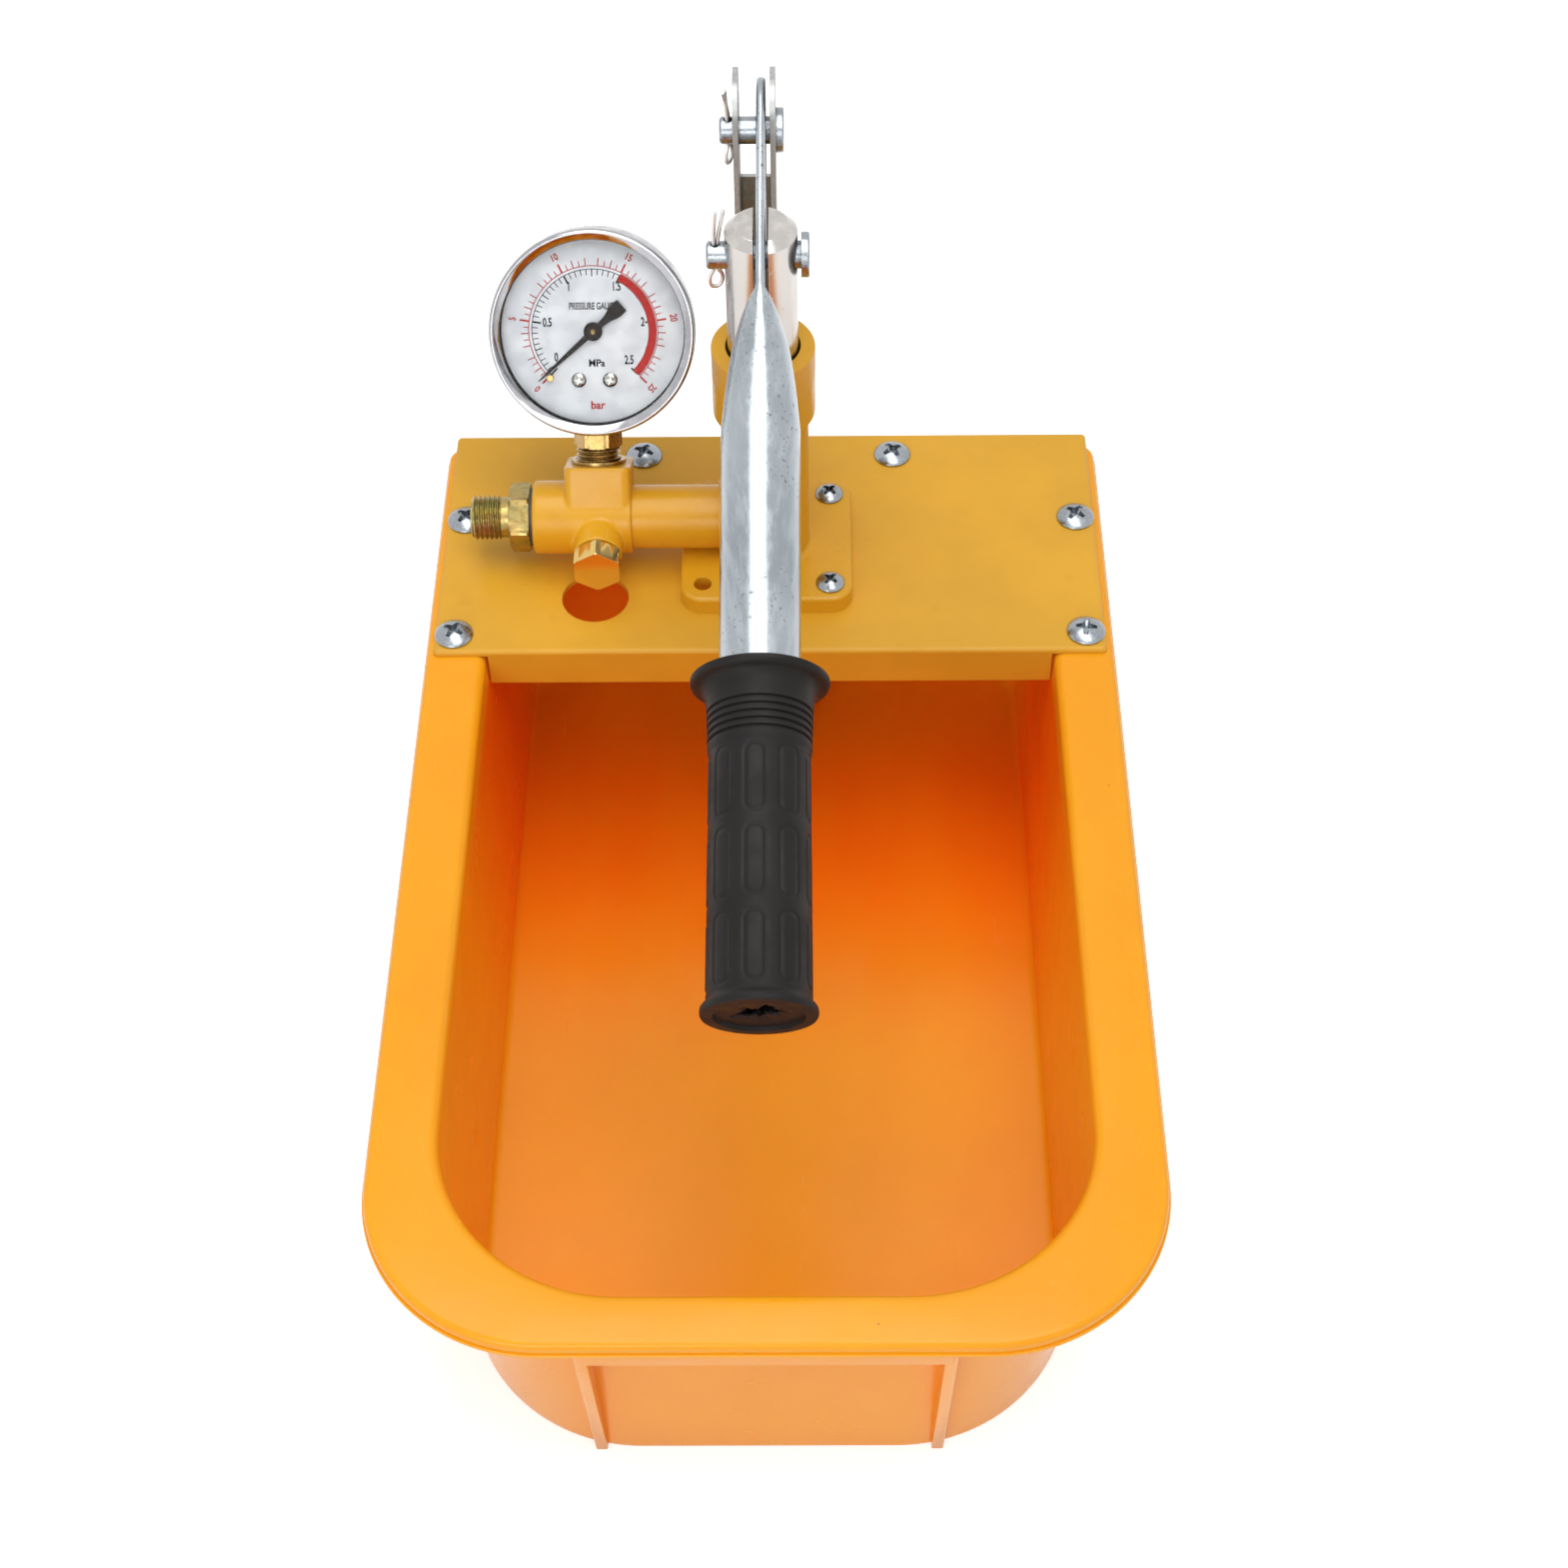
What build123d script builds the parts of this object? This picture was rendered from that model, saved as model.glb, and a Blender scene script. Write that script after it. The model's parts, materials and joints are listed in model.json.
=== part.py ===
"""Hand-operated hydrostatic test pump: a water tub with a steel deck over its rear third, a lever pump on
the deck, and a delivery pipe that ends in a valve block with a gauge, a release screw and an outlet.

Millimetres. +X is right, +Y is towards the pump, +Z is up. The origin is the centre of the tub's foot.
"""

import os
from math import cos, hypot, radians, sin, tan

from build123d import *

os.makedirs("parts", exist_ok=True)

# Shared fits and fine details
overrun = 1.0
running_gap = 0.05
press_gap = 0.01
seat_gap = 0.3
edge_break = 0.6
wire_diameter = 1.1

# Tub
tank_height = 90.0
rim_length = 336.0
rim_width = 215.0
rim_side_width = 19.0
rim_front_width = 16.0
rim_back_width = 19.0
rim_radius = 50.0
rim_back_radius = 6.0
rim_thickness = 3.0
lip_drop = 5.0
lip_thickness = 2.2
wall = 3.0
floor_thickness = 3.0
wall_draft = 3.1
basin_radius = 51.0
basin_back_radius = 12.0
rib_spacing = 94.0
rib_thickness = 3.4
rib_setback = 3.0
skirt_drop = 12.0

# Deck
deck_thickness = 2.0
deck_side_inset = 3.0
deck_reach = 96.3
deck_flange_drop = 12.0
deck_back_drop = 8.0
deck_corner_radius = 1.5
drain_diameter = 21.0
drain_beside_pump = 54.0
drain_ahead_of_pump = 20.0
deck_screw_side_inset = 9.1
deck_screw_front_inset = 7.5
deck_screw_middle_inset = 38.0
deck_screw_back_x = 41.0
deck_screw_back_inset = 8.0
deck_screw_head = 12.0
deck_screw_head_height = 3.0
deck_screw_shank = 5.0
deck_screw_length = 8.0
head_round_share = 0.8
recess_length_share = 0.5
recess_width_share = 0.125
recess_depth_share = 0.5

# Pump casting
pump_x = -1.0
pump_inset = 53.0
flange_size = 54.0
flange_thickness = 6.0
flange_corner_radius = 7.0
flange_hole_spacing = 40.0
flange_hole_diameter = 5.6
barrel_diameter = 26.8
collar_diameter = 31.0
collar_length = 25.0
barrel_below_pin = 33.5
bore_diameter = 22.4
bore_floor_rise = 6.0
chamber_diameter = 16.0
passage_diameter = 7.0
spigot_diameter = 24.0
spigot_length = 14.0
base_screw_head = 9.0
base_screw_head_height = 2.6
base_screw_shank = 5.0
base_nut_flats = 8.0
base_nut_height = 4.0

# Plunger
plunger_diameter = 21.0
plunger_above_pin = 11.0
plunger_foot_height = 22.0
plunger_chamfer = 2.6
plunger_slot_width = 4.3
plunger_slot_below_pin = 24.0
seal_groove_diameter = 15.0
seal_height = 5.0
seal_land = 2.0
guide_length = 12.0
guide_drop = 6.0

# Pins and split pins
pin_diameter = 8.0
pin_head_diameter = 13.0
pin_head_thickness = 2.4
split_hole_diameter = 2.6
split_inset = 2.6
split_leg = 15.0
split_eye_length = 5.0
split_eye_width = 3.4
split_lean = 14.0
split_bend_share = 1.5
split_wire_share = 0.98
plunger_pin_height = 121.5
plunger_pin_left = 15.7
plunger_pin_right = 11.5

# Lever, drawn along its own length from the top pin
lever_slope = 18.0
lever_arm = 42.8
blade_end = 13.5
blade_height = 31.0
blade_corner = 12.5
blade_thickness = 2.6
tube_diameter = 22.2
tube_wall = 1.3
flare_start = 13.0
flare_end = 58.0
flare_shares = [(0, 0, 0), (0.11, 0.15, 0.05), (0.24, 0.43, 0.14), (0.44, 0.71, 0.41), (0.71, 0.88, 0.75), (1, 1, 1)]
pin_slack = 0.35
open_pivot_slot = 3.2

# Hand grip, measured along the lever from the plunger pin
grip_start = 134.0
grip_end = 228.0
grip_diameter = 27.0
grip_end_diameter = 27.6
grip_flange_diameter = 37.6
grip_flange_thickness = 2.6
grip_neck_length = 3.0
grip_neck_diameter = 29.5
grip_end_flange_diameter = 30.0
grip_end_flange_thickness = 2.0
grip_cup_depth = 1.2
grip_cup_diameter = 24.0
grip_cap_thickness = 1.4
grip_cap_hole = 8.0
grip_ring_count = 5
grip_ring_pitch = 2.3
grip_ring_depth = 0.8
grip_ring_width = 0.9

# Link
link_beside_pump = 2.0
link_gap = 9.2
link_sheet = 1.6
link_front = 9.0
link_back = 12.0
link_top = 17.5
link_top_corner = 8.5
link_bottom = 11.0
link_web_start = 15.0
link_web_clear = 23.0
link_base_behind_pump = 35.0
link_base_height = 30.0
link_pin_left = 10.3
link_pin_right = 6.2
lug_radius = 8.0
lug_play = 0.4
lug_root_low = 12.0
lug_root_high = 48.0

# Suction side
cage_diameter = 16.0
cage_bore = 10.4
cage_length = 17.0
cage_port = 6.0
cage_floor = 4.0
nipple_length = 12.0
nipple_diameter = 12.8
ball_diameter = 9.0
ball_lift = 2.5
stop_thickness = 1.6
stop_hole_diameter = 2.4
stop_hole_count = 4
stop_pitch_share = 0.62
suction_outer = 16.0
suction_overlap = 10.0
strainer_diameter = 21.0
strainer_height = 16.0
strainer_wall = 1.6
strainer_floor_gap = 2.5
strainer_slots = 12
strainer_slot_width = 1.6
strainer_slot_height = 8.0

# Delivery pipe
pipe_height = 18.0
pipe_diameter = 20.0
pipe_bore = 14.0
pipe_socket_wall = 1.7
pipe_boss_wall = 1.4
pipe_boss_reach = 14.8
pipe_socket_depth = 3.0
outlet_seat_length = 6.0
outlet_seat_inset = 3.0

# Valve block
valve_beside_pump = 52.4
valve_width = 20.8
valve_depth = 21.0
valve_top = 17.5
valve_bottom = 11.5
valve_edge_radius = 2.6
valve_bottom_radius = 7.0
gauge_tilt = 32.0
release_boss_diameter = 15.0
release_boss_reach = 17.4
end_collar_diameter = 23.0
end_collar_length = 10.4
gallery_diameter = 6.0
outlet_thread_depth = 9.0

# Outlet nipple, an M14 x 1.5 nose
outlet_thread_diameter = 14.0
outlet_thread_length = 9.4
outlet_neck_length = 2.8
outlet_neck_diameter = 12.6
outlet_hex_flats = 19.0
outlet_hex_length = 6.4
outlet_hex_turn = 47.0
outlet_bore = 6.0
washer_thickness = 1.0
washer_diameter = 18.0

# Release screw
release_flats = 14.0
release_head_length = 6.8
release_shank_diameter = 8.0
release_shank_length = 6.0
release_head_gap = 0.4
needle_diameter = 4.0
needle_length = 9.0
needle_pocket = 2.0
packing_thickness = 1.6
packing_diameter = 12.0
release_port_diameter = 2.4

# Gauge, drawn square to its dial from the stem's own axis
gauge_reach = 59.5
case_diameter = 60.0
case_back = 12.0
case_front = 9.0
case_wall = 1.0
bezel_diameter = 63.0
bezel_front = 14.0
bezel_start = 5.0
bezel_lip = 28.2
bezel_round = 1.8
glass_thickness = 2.0
glass_front_gap = 1.2
gasket_width = 1.8
dial_thickness = 0.6
dial_front = 7.6
dial_gap = 0.5
dial_screw_x = 4.8
dial_screw_y = -15.2
dial_screw_head = 4.6
dial_screw_head_height = 0.9
dial_screw_shank = 1.4
stop_pin_diameter = 2.0
stop_pin_height = 1.7
stop_pin_reach = 19.6
zero_angle = 221.5
stop_pin_lead = 4.8
pointer_length = 23.5
pointer_tail = 12.0
pointer_tail_width = 4.6
pointer_width = 2.0
pointer_tip_width = 0.4
pointer_thickness = 0.5
pointer_height = 8.5
pointer_hub_diameter = 5.6
pointer_boss_diameter = 3.0
pointer_boss_height = 0.8
spindle_diameter = 1.6
pinion_diameter = 3.4
pinion_thickness = 2.6
pinion_height = 1.4
sector_radius = 9.0
sector_thickness = 1.6
sector_half_angle = 40.0
sector_gear_gap = 0.3
sector_pivot_diameter = 1.6
sector_rest_lean = 25.0
movement_plate_thickness = 1.2
movement_back = -2.6
movement_half_width = 8.5
movement_top = 5.0
movement_post_size = 2.4
bourdon_radius = 21.5
bourdon_width = 6.0
bourdon_depth = 2.4
bourdon_start_angle = 282.0
bourdon_sweep = 248.0
bourdon_height = -7.2
socket_flats = 14.0
socket_hex_length = 5.2
socket_thread_diameter = 13.9
socket_thread_depth = 8.0
socket_neck_diameter = 9.4
socket_foot_width = 10.4
socket_foot_height = 7.0
socket_foot_back = -10.4
socket_block_top = -19.0
socket_bore = 3.0
gauge_washer_thickness = 1.2
gauge_washer_diameter = 17.0

# Levels and places that follow from the sizes above
dial_back = dial_front - dial_thickness
movement_front = dial_back
movement_bottom = -socket_block_top
rim_front_y = -rim_length / 2
rim_back_y = rim_length / 2
basin_front_y = rim_front_y + rim_front_width
pump_y = rim_back_y - pump_inset
link_x = pump_x - link_beside_pump
link_base_y = pump_y + link_base_behind_pump
valve_x = pump_x - valve_beside_pump
drain_x = pump_x - drain_beside_pump
drain_y = pump_y - drain_ahead_of_pump
deck_width = rim_width - 2 * deck_side_inset
deck_front_y = rim_back_y - deck_reach
deck_screw_side_x = rim_width / 2 - deck_screw_side_inset
deck_screw_front_y = deck_front_y + deck_screw_front_inset
deck_screw_middle_y = rim_back_y - deck_screw_middle_inset
deck_screw_back_y = rim_back_y - deck_screw_back_inset
basin_back_y = rim_back_y - rim_back_width
basin_half_width = rim_width / 2 - rim_side_width
rim_under_z = tank_height - rim_thickness
lip_bottom_z = tank_height - lip_drop
deck_top_z = tank_height + deck_thickness
deck_back_y = rim_back_y + seat_gap + deck_thickness
flange_top_z = deck_top_z + flange_thickness
bore_floor_z = flange_top_z + bore_floor_rise
pin_z = tank_height + plunger_pin_height
barrel_top_z = pin_z - barrel_below_pin
plunger_top_z = pin_z + plunger_above_pin
plunger_slot_z = pin_z - plunger_slot_below_pin
plunger_foot_z = tank_height + plunger_foot_height
pipe_z = tank_height + pipe_height
slope = radians(lever_slope)
top_pin_y = pump_y + lever_arm * cos(slope)
top_pin_z = pin_z + lever_arm * sin(slope)
base_pin_z = tank_height + link_base_height
link_length = hypot(top_pin_y - link_base_y, top_pin_z - base_pin_z)
socket_floor_x = bore_diameter / 2 + pipe_socket_wall
tilt = radians(gauge_tilt)

# Frames of the parts that stand at an angle
lever_plane = Plane(origin=(pump_x, top_pin_y, top_pin_z), x_dir=(0, -cos(slope), -sin(slope)), z_dir=(1, 0, 0))
link_plane = Plane(
    origin=(link_x, link_base_y, base_pin_z),
    x_dir=(0, top_pin_y - link_base_y, top_pin_z - base_pin_z),
    z_dir=(1, 0, 0),
)
valve_plane = Plane(origin=(valve_x, pump_y, pipe_z), x_dir=(1, 0, 0), z_dir=(0, sin(tilt), cos(tilt)))
release_plane = Plane(origin=(valve_x, pump_y, pipe_z), x_dir=(1, 0, 0), z_dir=(0, -1, 0))
outlet_plane = Plane(origin=(0, pump_y, pipe_z), x_dir=(0, 1, 0), z_dir=(1, 0, 0))
gauge_plane = Plane(
    origin=(valve_x, pump_y + gauge_reach * sin(tilt), pipe_z + gauge_reach * cos(tilt)),
    x_dir=(1, 0, 0),
    z_dir=(0, -cos(tilt), sin(tilt)),
)


def save(piece, name):
    """Label a finished piece and write it under its own name."""
    piece.part.label = name
    export_step(piece.part, f"parts/{name}.step")


def tub_outline(half_width, front_y, back_y, front_radius, back_radius):
    """A rectangle with large front corners and small back ones."""
    with Locations((0, (front_y + back_y) / 2)):
        Rectangle(2 * half_width, back_y - front_y)
    fillet(vertices().group_by(Axis.Y)[0], front_radius)
    fillet(vertices().group_by(Axis.Y)[-1], back_radius)


def ring(outer_diameter, inner_diameter):
    """A flat ring in the current sketch."""
    Circle(outer_diameter / 2)
    Circle(inner_diameter / 2, mode=Mode.SUBTRACT)


# Where the six deck screws and the three base screws go
deck_screw_places = [
    (-deck_screw_side_x, deck_screw_front_y),
    (deck_screw_side_x, deck_screw_front_y),
    (-deck_screw_side_x, deck_screw_middle_y),
    (deck_screw_side_x, deck_screw_middle_y),
    (pump_x - deck_screw_back_x, deck_screw_back_y),
    (pump_x + deck_screw_back_x, deck_screw_back_y),
]
half_spacing = flange_hole_spacing / 2
base_hole_places = [
    (pump_x + side * half_spacing, pump_y + end * half_spacing) for side in (-1, 1) for end in (-1, 1)
]
base_screw_places = base_hole_places[1:]

# Tub: a drafted basin, a flat rim with a down-turned lip, and the stiffening frame on its front wall
draft_run = tank_height * tan(radians(wall_draft))
inner_draft_run = (tank_height - floor_thickness) * tan(radians(wall_draft))
foot_front_y = basin_front_y - wall + draft_run
with BuildPart() as tank:
    with BuildSketch(Plane.XY):
        tub_outline(
            basin_half_width + wall - draft_run,
            foot_front_y,
            basin_back_y + wall - draft_run,
            basin_radius,
            basin_back_radius,
        )
    with BuildSketch(Plane.XY.offset(tank_height)):
        tub_outline(
            basin_half_width + wall,
            basin_front_y - wall,
            basin_back_y + wall,
            basin_radius,
            basin_back_radius,
        )
    loft(ruled=True)
    with BuildSketch(Plane.XY.offset(rim_under_z)):
        tub_outline(rim_width / 2, rim_front_y, rim_back_y, rim_radius, rim_back_radius)
    extrude(amount=rim_thickness)
    with BuildSketch(Plane.XY.offset(lip_bottom_z)):
        tub_outline(rim_width / 2, rim_front_y, rim_back_y, rim_radius, rim_back_radius)
        offset(amount=-lip_thickness, mode=Mode.SUBTRACT)
    extrude(amount=lip_drop)
    fillet(edges().group_by(Axis.Z)[-1], edge_break)
    rib_front_y = rim_front_y + rib_setback
    rib_half = rib_spacing / 2
    for side in (-1, 1):
        with BuildSketch(Plane.YZ.offset(side * rib_half - rib_thickness / 2)):
            with BuildLine():
                Polyline(
                    (rib_front_y, rim_under_z),
                    (foot_front_y - edge_break, 0),
                    (foot_front_y + wall, 0),
                    (basin_front_y - wall / 2, rim_under_z),
                    close=True,
                )
            make_face()
        extrude(amount=rib_thickness)
    with BuildSketch(Plane.XY.offset(rim_under_z)):
        with Locations((0, rib_front_y + rib_thickness / 2)):
            Rectangle(rib_spacing, rib_thickness)
    extrude(amount=-skirt_drop)
    with BuildSketch(Plane.XY.offset(floor_thickness)):
        tub_outline(
            basin_half_width - inner_draft_run,
            basin_front_y + inner_draft_run,
            basin_back_y - inner_draft_run,
            basin_radius,
            basin_back_radius,
        )
    with BuildSketch(Plane.XY.offset(tank_height)):
        tub_outline(basin_half_width, basin_front_y, basin_back_y, basin_radius, basin_back_radius)
    loft(ruled=True, mode=Mode.SUBTRACT)
    with Locations(*[(x, y, tank_height) for x, y in deck_screw_places]):
        Hole(deck_screw_shank / 2 + running_gap, depth=rim_thickness + overrun)
save(tank, "tank")

# Deck: a sheet folded down in front between the tub's walls and behind the tub's lip
deck_depth = deck_back_y - deck_front_y
flange_half = basin_half_width - deck_flange_drop * tan(radians(wall_draft)) - seat_gap
with BuildPart() as deck_plate:
    with BuildSketch(Plane.XY.offset(tank_height)):
        with Locations((0, (deck_front_y + deck_back_y) / 2)):
            RectangleRounded(deck_width, deck_depth, deck_corner_radius)
    extrude(amount=deck_thickness)
    with BuildSketch(Plane.XZ.offset(-deck_front_y)):
        with Locations((0, deck_top_z - (deck_flange_drop + deck_thickness) / 2)):
            Rectangle(2 * flange_half, deck_flange_drop + deck_thickness)
    extrude(amount=-deck_thickness)
    with BuildSketch(Plane.XZ.offset(-deck_back_y)):
        with Locations((0, deck_top_z - (deck_back_drop + deck_thickness) / 2)):
            Rectangle(deck_width - 2 * deck_corner_radius, deck_back_drop + deck_thickness)
    extrude(amount=deck_thickness)
    top_edges = edges().filter_by(Axis.X).group_by(Axis.Z)[-1]
    fillet(top_edges, deck_thickness - edge_break)
    with Locations((drain_x, drain_y, deck_top_z)):
        Hole(drain_diameter / 2)
    with Locations((pump_x, pump_y, deck_top_z)):
        Hole(spigot_diameter / 2 + seat_gap)
    with Locations(*[(x, y, deck_top_z) for x, y in deck_screw_places]):
        Hole(deck_screw_shank / 2 + running_gap)
    with Locations(*[(x, y, deck_top_z) for x, y in base_hole_places]):
        Hole(flange_hole_diameter / 2)
save(deck_plate, "deck_plate")


def pan_screws(places, seat_z, head_diameter, head_height, shank_diameter, length):
    """Cross-recess pan-head screws, one at each place, seated on a level face."""
    with BuildPart() as screws:
        with BuildSketch(Plane.XY.offset(seat_z)):
            with Locations(*places):
                Circle(head_diameter / 2)
        extrude(amount=head_height)
        fillet(edges().group_by(Axis.Z)[-1], head_height * head_round_share)
        with BuildSketch(Plane.XY.offset(seat_z)):
            with Locations(*places):
                Circle(shank_diameter / 2)
        extrude(amount=-length)
        with BuildSketch(Plane.XY.offset(seat_z + head_height)):
            with Locations(*places):
                Rectangle(head_diameter * recess_length_share, head_diameter * recess_width_share)
                Rectangle(head_diameter * recess_width_share, head_diameter * recess_length_share)
        extrude(amount=-head_height * recess_depth_share, mode=Mode.SUBTRACT)
    return screws


deck_screws = pan_screws(
    deck_screw_places,
    deck_top_z,
    deck_screw_head,
    deck_screw_head_height,
    deck_screw_shank,
    deck_screw_length,
)
save(deck_screws, "deck_screws")

base_screws = pan_screws(
    base_screw_places,
    flange_top_z,
    base_screw_head,
    base_screw_head_height,
    base_screw_shank,
    flange_thickness + deck_thickness + base_nut_height + overrun,
)
save(base_screws, "base_screws")

with BuildPart() as base_nuts:
    with BuildSketch(Plane.XY.offset(tank_height)):
        with Locations(*base_screw_places):
            RegularPolygon(base_nut_flats / 2, 6, major_radius=False)
            Circle(base_screw_shank / 2 + running_gap, mode=Mode.SUBTRACT)
    extrude(amount=-base_nut_height)
save(base_nuts, "base_nuts")

# Pump casting: base flange, barrel with collar, spigot below the deck, rear lug, side socket for the pipe
lug_thickness = link_gap - 2 * lug_play
with BuildPart() as pump_body:
    with BuildSketch(Plane.XY.offset(deck_top_z)):
        with Locations((pump_x, pump_y)):
            RectangleRounded(flange_size, flange_size, flange_corner_radius)
    extrude(amount=flange_thickness)
    fillet(edges().group_by(Axis.Z)[-1], edge_break * 2)
    with BuildSketch(Plane.XY.offset(flange_top_z)):
        with Locations((pump_x, pump_y)):
            Circle(barrel_diameter / 2)
    extrude(amount=barrel_top_z - flange_top_z)
    barrel_root = edges().filter_by(GeomType.CIRCLE).filter_by(
        lambda edge: abs(edge.radius - barrel_diameter / 2) < seat_gap
    )
    fillet(barrel_root.sort_by(Axis.Z)[0], edge_break * 3)
    with BuildSketch(Plane.XY.offset(barrel_top_z)):
        with Locations((pump_x, pump_y)):
            Circle(collar_diameter / 2)
    extrude(amount=-collar_length)
    collar_edges = edges().filter_by(GeomType.CIRCLE).filter_by(
        lambda edge: abs(edge.radius - collar_diameter / 2) < seat_gap
    )
    fillet(collar_edges, edge_break)
    with BuildSketch(Plane.YZ.offset(pump_x)):
        with Locations((pump_y, pipe_z)):
            Circle(pipe_diameter / 2 + pipe_boss_wall)
    extrude(amount=-pipe_boss_reach)
    with BuildSketch(Plane.XY.offset(deck_top_z)):
        with Locations((pump_x, pump_y)):
            Circle(spigot_diameter / 2)
    extrude(amount=-spigot_length)
    with BuildSketch(Plane.YZ.offset(link_x - lug_thickness / 2)):
        with Locations((link_base_y, base_pin_z)):
            Circle(lug_radius)
        with Locations((pump_y + bore_diameter / 2, tank_height + (lug_root_low + lug_root_high) / 2)):
            Rectangle(wall, lug_root_high - lug_root_low)
        make_hull()
    extrude(amount=lug_thickness)
    with Locations((pump_x, pump_y, barrel_top_z)):
        Hole(bore_diameter / 2, depth=barrel_top_z - plunger_foot_z + running_gap)
        Hole(chamber_diameter / 2, depth=barrel_top_z - bore_floor_z)
        Hole(passage_diameter / 2)
    with BuildSketch(Plane.XY.offset(deck_top_z - spigot_length)):
        with Locations((pump_x, pump_y)):
            Circle(cage_diameter / 2 + running_gap)
    extrude(amount=cage_length - nipple_length / 2, mode=Mode.SUBTRACT)
    with BuildSketch(Plane.YZ.offset(pump_x - socket_floor_x)):
        with Locations((pump_y, pipe_z)):
            Circle(pipe_diameter / 2 + running_gap)
    extrude(amount=-collar_diameter, mode=Mode.SUBTRACT)
    with BuildSketch(Plane.YZ.offset(pump_x)):
        with Locations((pump_y, pipe_z)):
            Circle(gallery_diameter / 2)
    extrude(amount=-barrel_diameter, mode=Mode.SUBTRACT)
    with BuildSketch(Plane.YZ.offset(link_x)):
        with Locations((link_base_y, base_pin_z)):
            Circle(pin_diameter / 2 + running_gap)
    extrude(amount=lug_thickness, both=True, mode=Mode.SUBTRACT)
    with Locations(*[(x, y, flange_top_z) for x, y in base_hole_places]):
        Hole(flange_hole_diameter / 2, depth=flange_thickness + overrun)
save(pump_body, "pump_body")

with BuildPart() as plunger_guide:
    with BuildSketch(Plane.XY.offset(barrel_top_z - guide_drop)):
        with Locations((pump_x, pump_y)):
            ring(bore_diameter - 2 * press_gap, plunger_diameter + 2 * running_gap)
    extrude(amount=-guide_length)
save(plunger_guide, "plunger_guide")

# Plunger: a rod with a seal groove at its foot, a cross hole and a slot for the lever's blade at its top
with BuildPart() as plunger:
    with BuildSketch(Plane.XY.offset(plunger_foot_z)):
        with Locations((pump_x, pump_y)):
            Circle(plunger_diameter / 2)
    extrude(amount=plunger_top_z - plunger_foot_z)
    chamfer(edges().group_by(Axis.Z)[-1], plunger_chamfer)
    with BuildSketch(Plane.XY.offset(plunger_foot_z + seal_land)):
        with Locations((pump_x, pump_y)):
            ring(plunger_diameter + overrun, seal_groove_diameter)
    extrude(amount=seal_height, mode=Mode.SUBTRACT)
    with BuildSketch(Plane.XZ.offset(-pump_y)):
        with Locations((pump_x, (plunger_top_z + plunger_slot_z) / 2)):
            Rectangle(plunger_slot_width, plunger_top_z - plunger_slot_z)
    extrude(amount=plunger_diameter, both=True, mode=Mode.SUBTRACT)
    with BuildSketch(Plane.YZ.offset(pump_x)):
        with Locations((pump_y, pin_z)):
            Circle(pin_diameter / 2 + running_gap)
    extrude(amount=plunger_diameter, both=True, mode=Mode.SUBTRACT)
save(plunger, "plunger")

with BuildPart() as plunger_seal:
    with BuildSketch(Plane.XY.offset(plunger_foot_z + seal_land + running_gap)):
        with Locations((pump_x, pump_y)):
            ring(bore_diameter - 2 * running_gap, seal_groove_diameter + 2 * running_gap)
    extrude(amount=seal_height - 2 * running_gap)
save(plunger_seal, "plunger_seal")


def clevis_pin(centre_x, y, z, left, right):
    """A headed pin along X with a cross hole for a split pin near its left end."""
    with BuildPart() as pin:
        with BuildSketch(Plane.YZ.offset(centre_x - left)):
            with Locations((y, z)):
                Circle(pin_diameter / 2)
        extrude(amount=left + right)
        chamfer(edges().group_by(Axis.X)[0], edge_break)
        with BuildSketch(Plane.YZ.offset(centre_x + right)):
            with Locations((y, z)):
                Circle(pin_head_diameter / 2)
        extrude(amount=pin_head_thickness)
        fillet(edges().group_by(Axis.X)[-1], edge_break)
        with BuildSketch(Plane.XY.offset(z)):
            with Locations((centre_x - left + split_inset, y)):
                Circle(split_hole_diameter / 2)
        extrude(amount=pin_diameter, both=True, mode=Mode.SUBTRACT)
    return pin


def split_pin(centre_x, y, z, left, lean):
    """A split pin through a clevis pin: its eye hangs below, its two legs stand up and spread."""
    place = Plane(
        origin=(centre_x - left + split_inset, y, z),
        x_dir=(0, 1, 0),
        z_dir=(1, 0, 0),
    )
    low = -pin_diameter / 2 - wire_diameter
    half = wire_diameter / 2
    with BuildPart() as cotter:
        for side in (-1, 1):
            with BuildLine(place) as leg:
                FilletPolyline(
                    (side * half, low),
                    (side * half, -low),
                    (side * half + (split_leg + low) * sin(radians(lean + side * lean / 2)), split_leg),
                    radius=wire_diameter * split_bend_share,
                )
            with BuildSketch(Plane(origin=leg.line @ 0, z_dir=leg.line % 0)):
                Circle(half * split_wire_share)
            sweep(path=leg.line)
        with BuildLine(place) as eye:
            FilletPolyline(
                (-half, low),
                (-split_eye_width / 2, low - split_eye_length / 3),
                (-split_eye_width / 2, low - split_eye_length),
                (split_eye_width / 2, low - split_eye_length),
                (split_eye_width / 2, low - split_eye_length / 3),
                (half, low),
                radius=wire_diameter,
            )
        with BuildSketch(Plane(origin=eye.line @ 0, z_dir=eye.line % 0)):
            Circle(half * split_wire_share)
        sweep(path=eye.line)
    return cotter


plunger_pin = clevis_pin(pump_x, pump_y, pin_z, plunger_pin_left, plunger_pin_right)
save(plunger_pin, "plunger_pin")
plunger_cotter = split_pin(pump_x, pump_y, pin_z, plunger_pin_left, split_lean)
save(plunger_cotter, "plunger_cotter")

link_top_pin = clevis_pin(link_x, top_pin_y, top_pin_z, link_pin_left, link_pin_right)
save(link_top_pin, "link_top_pin")
link_top_cotter = split_pin(link_x, top_pin_y, top_pin_z, link_pin_left, -split_lean)
save(link_top_cotter, "link_top_cotter")

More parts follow.
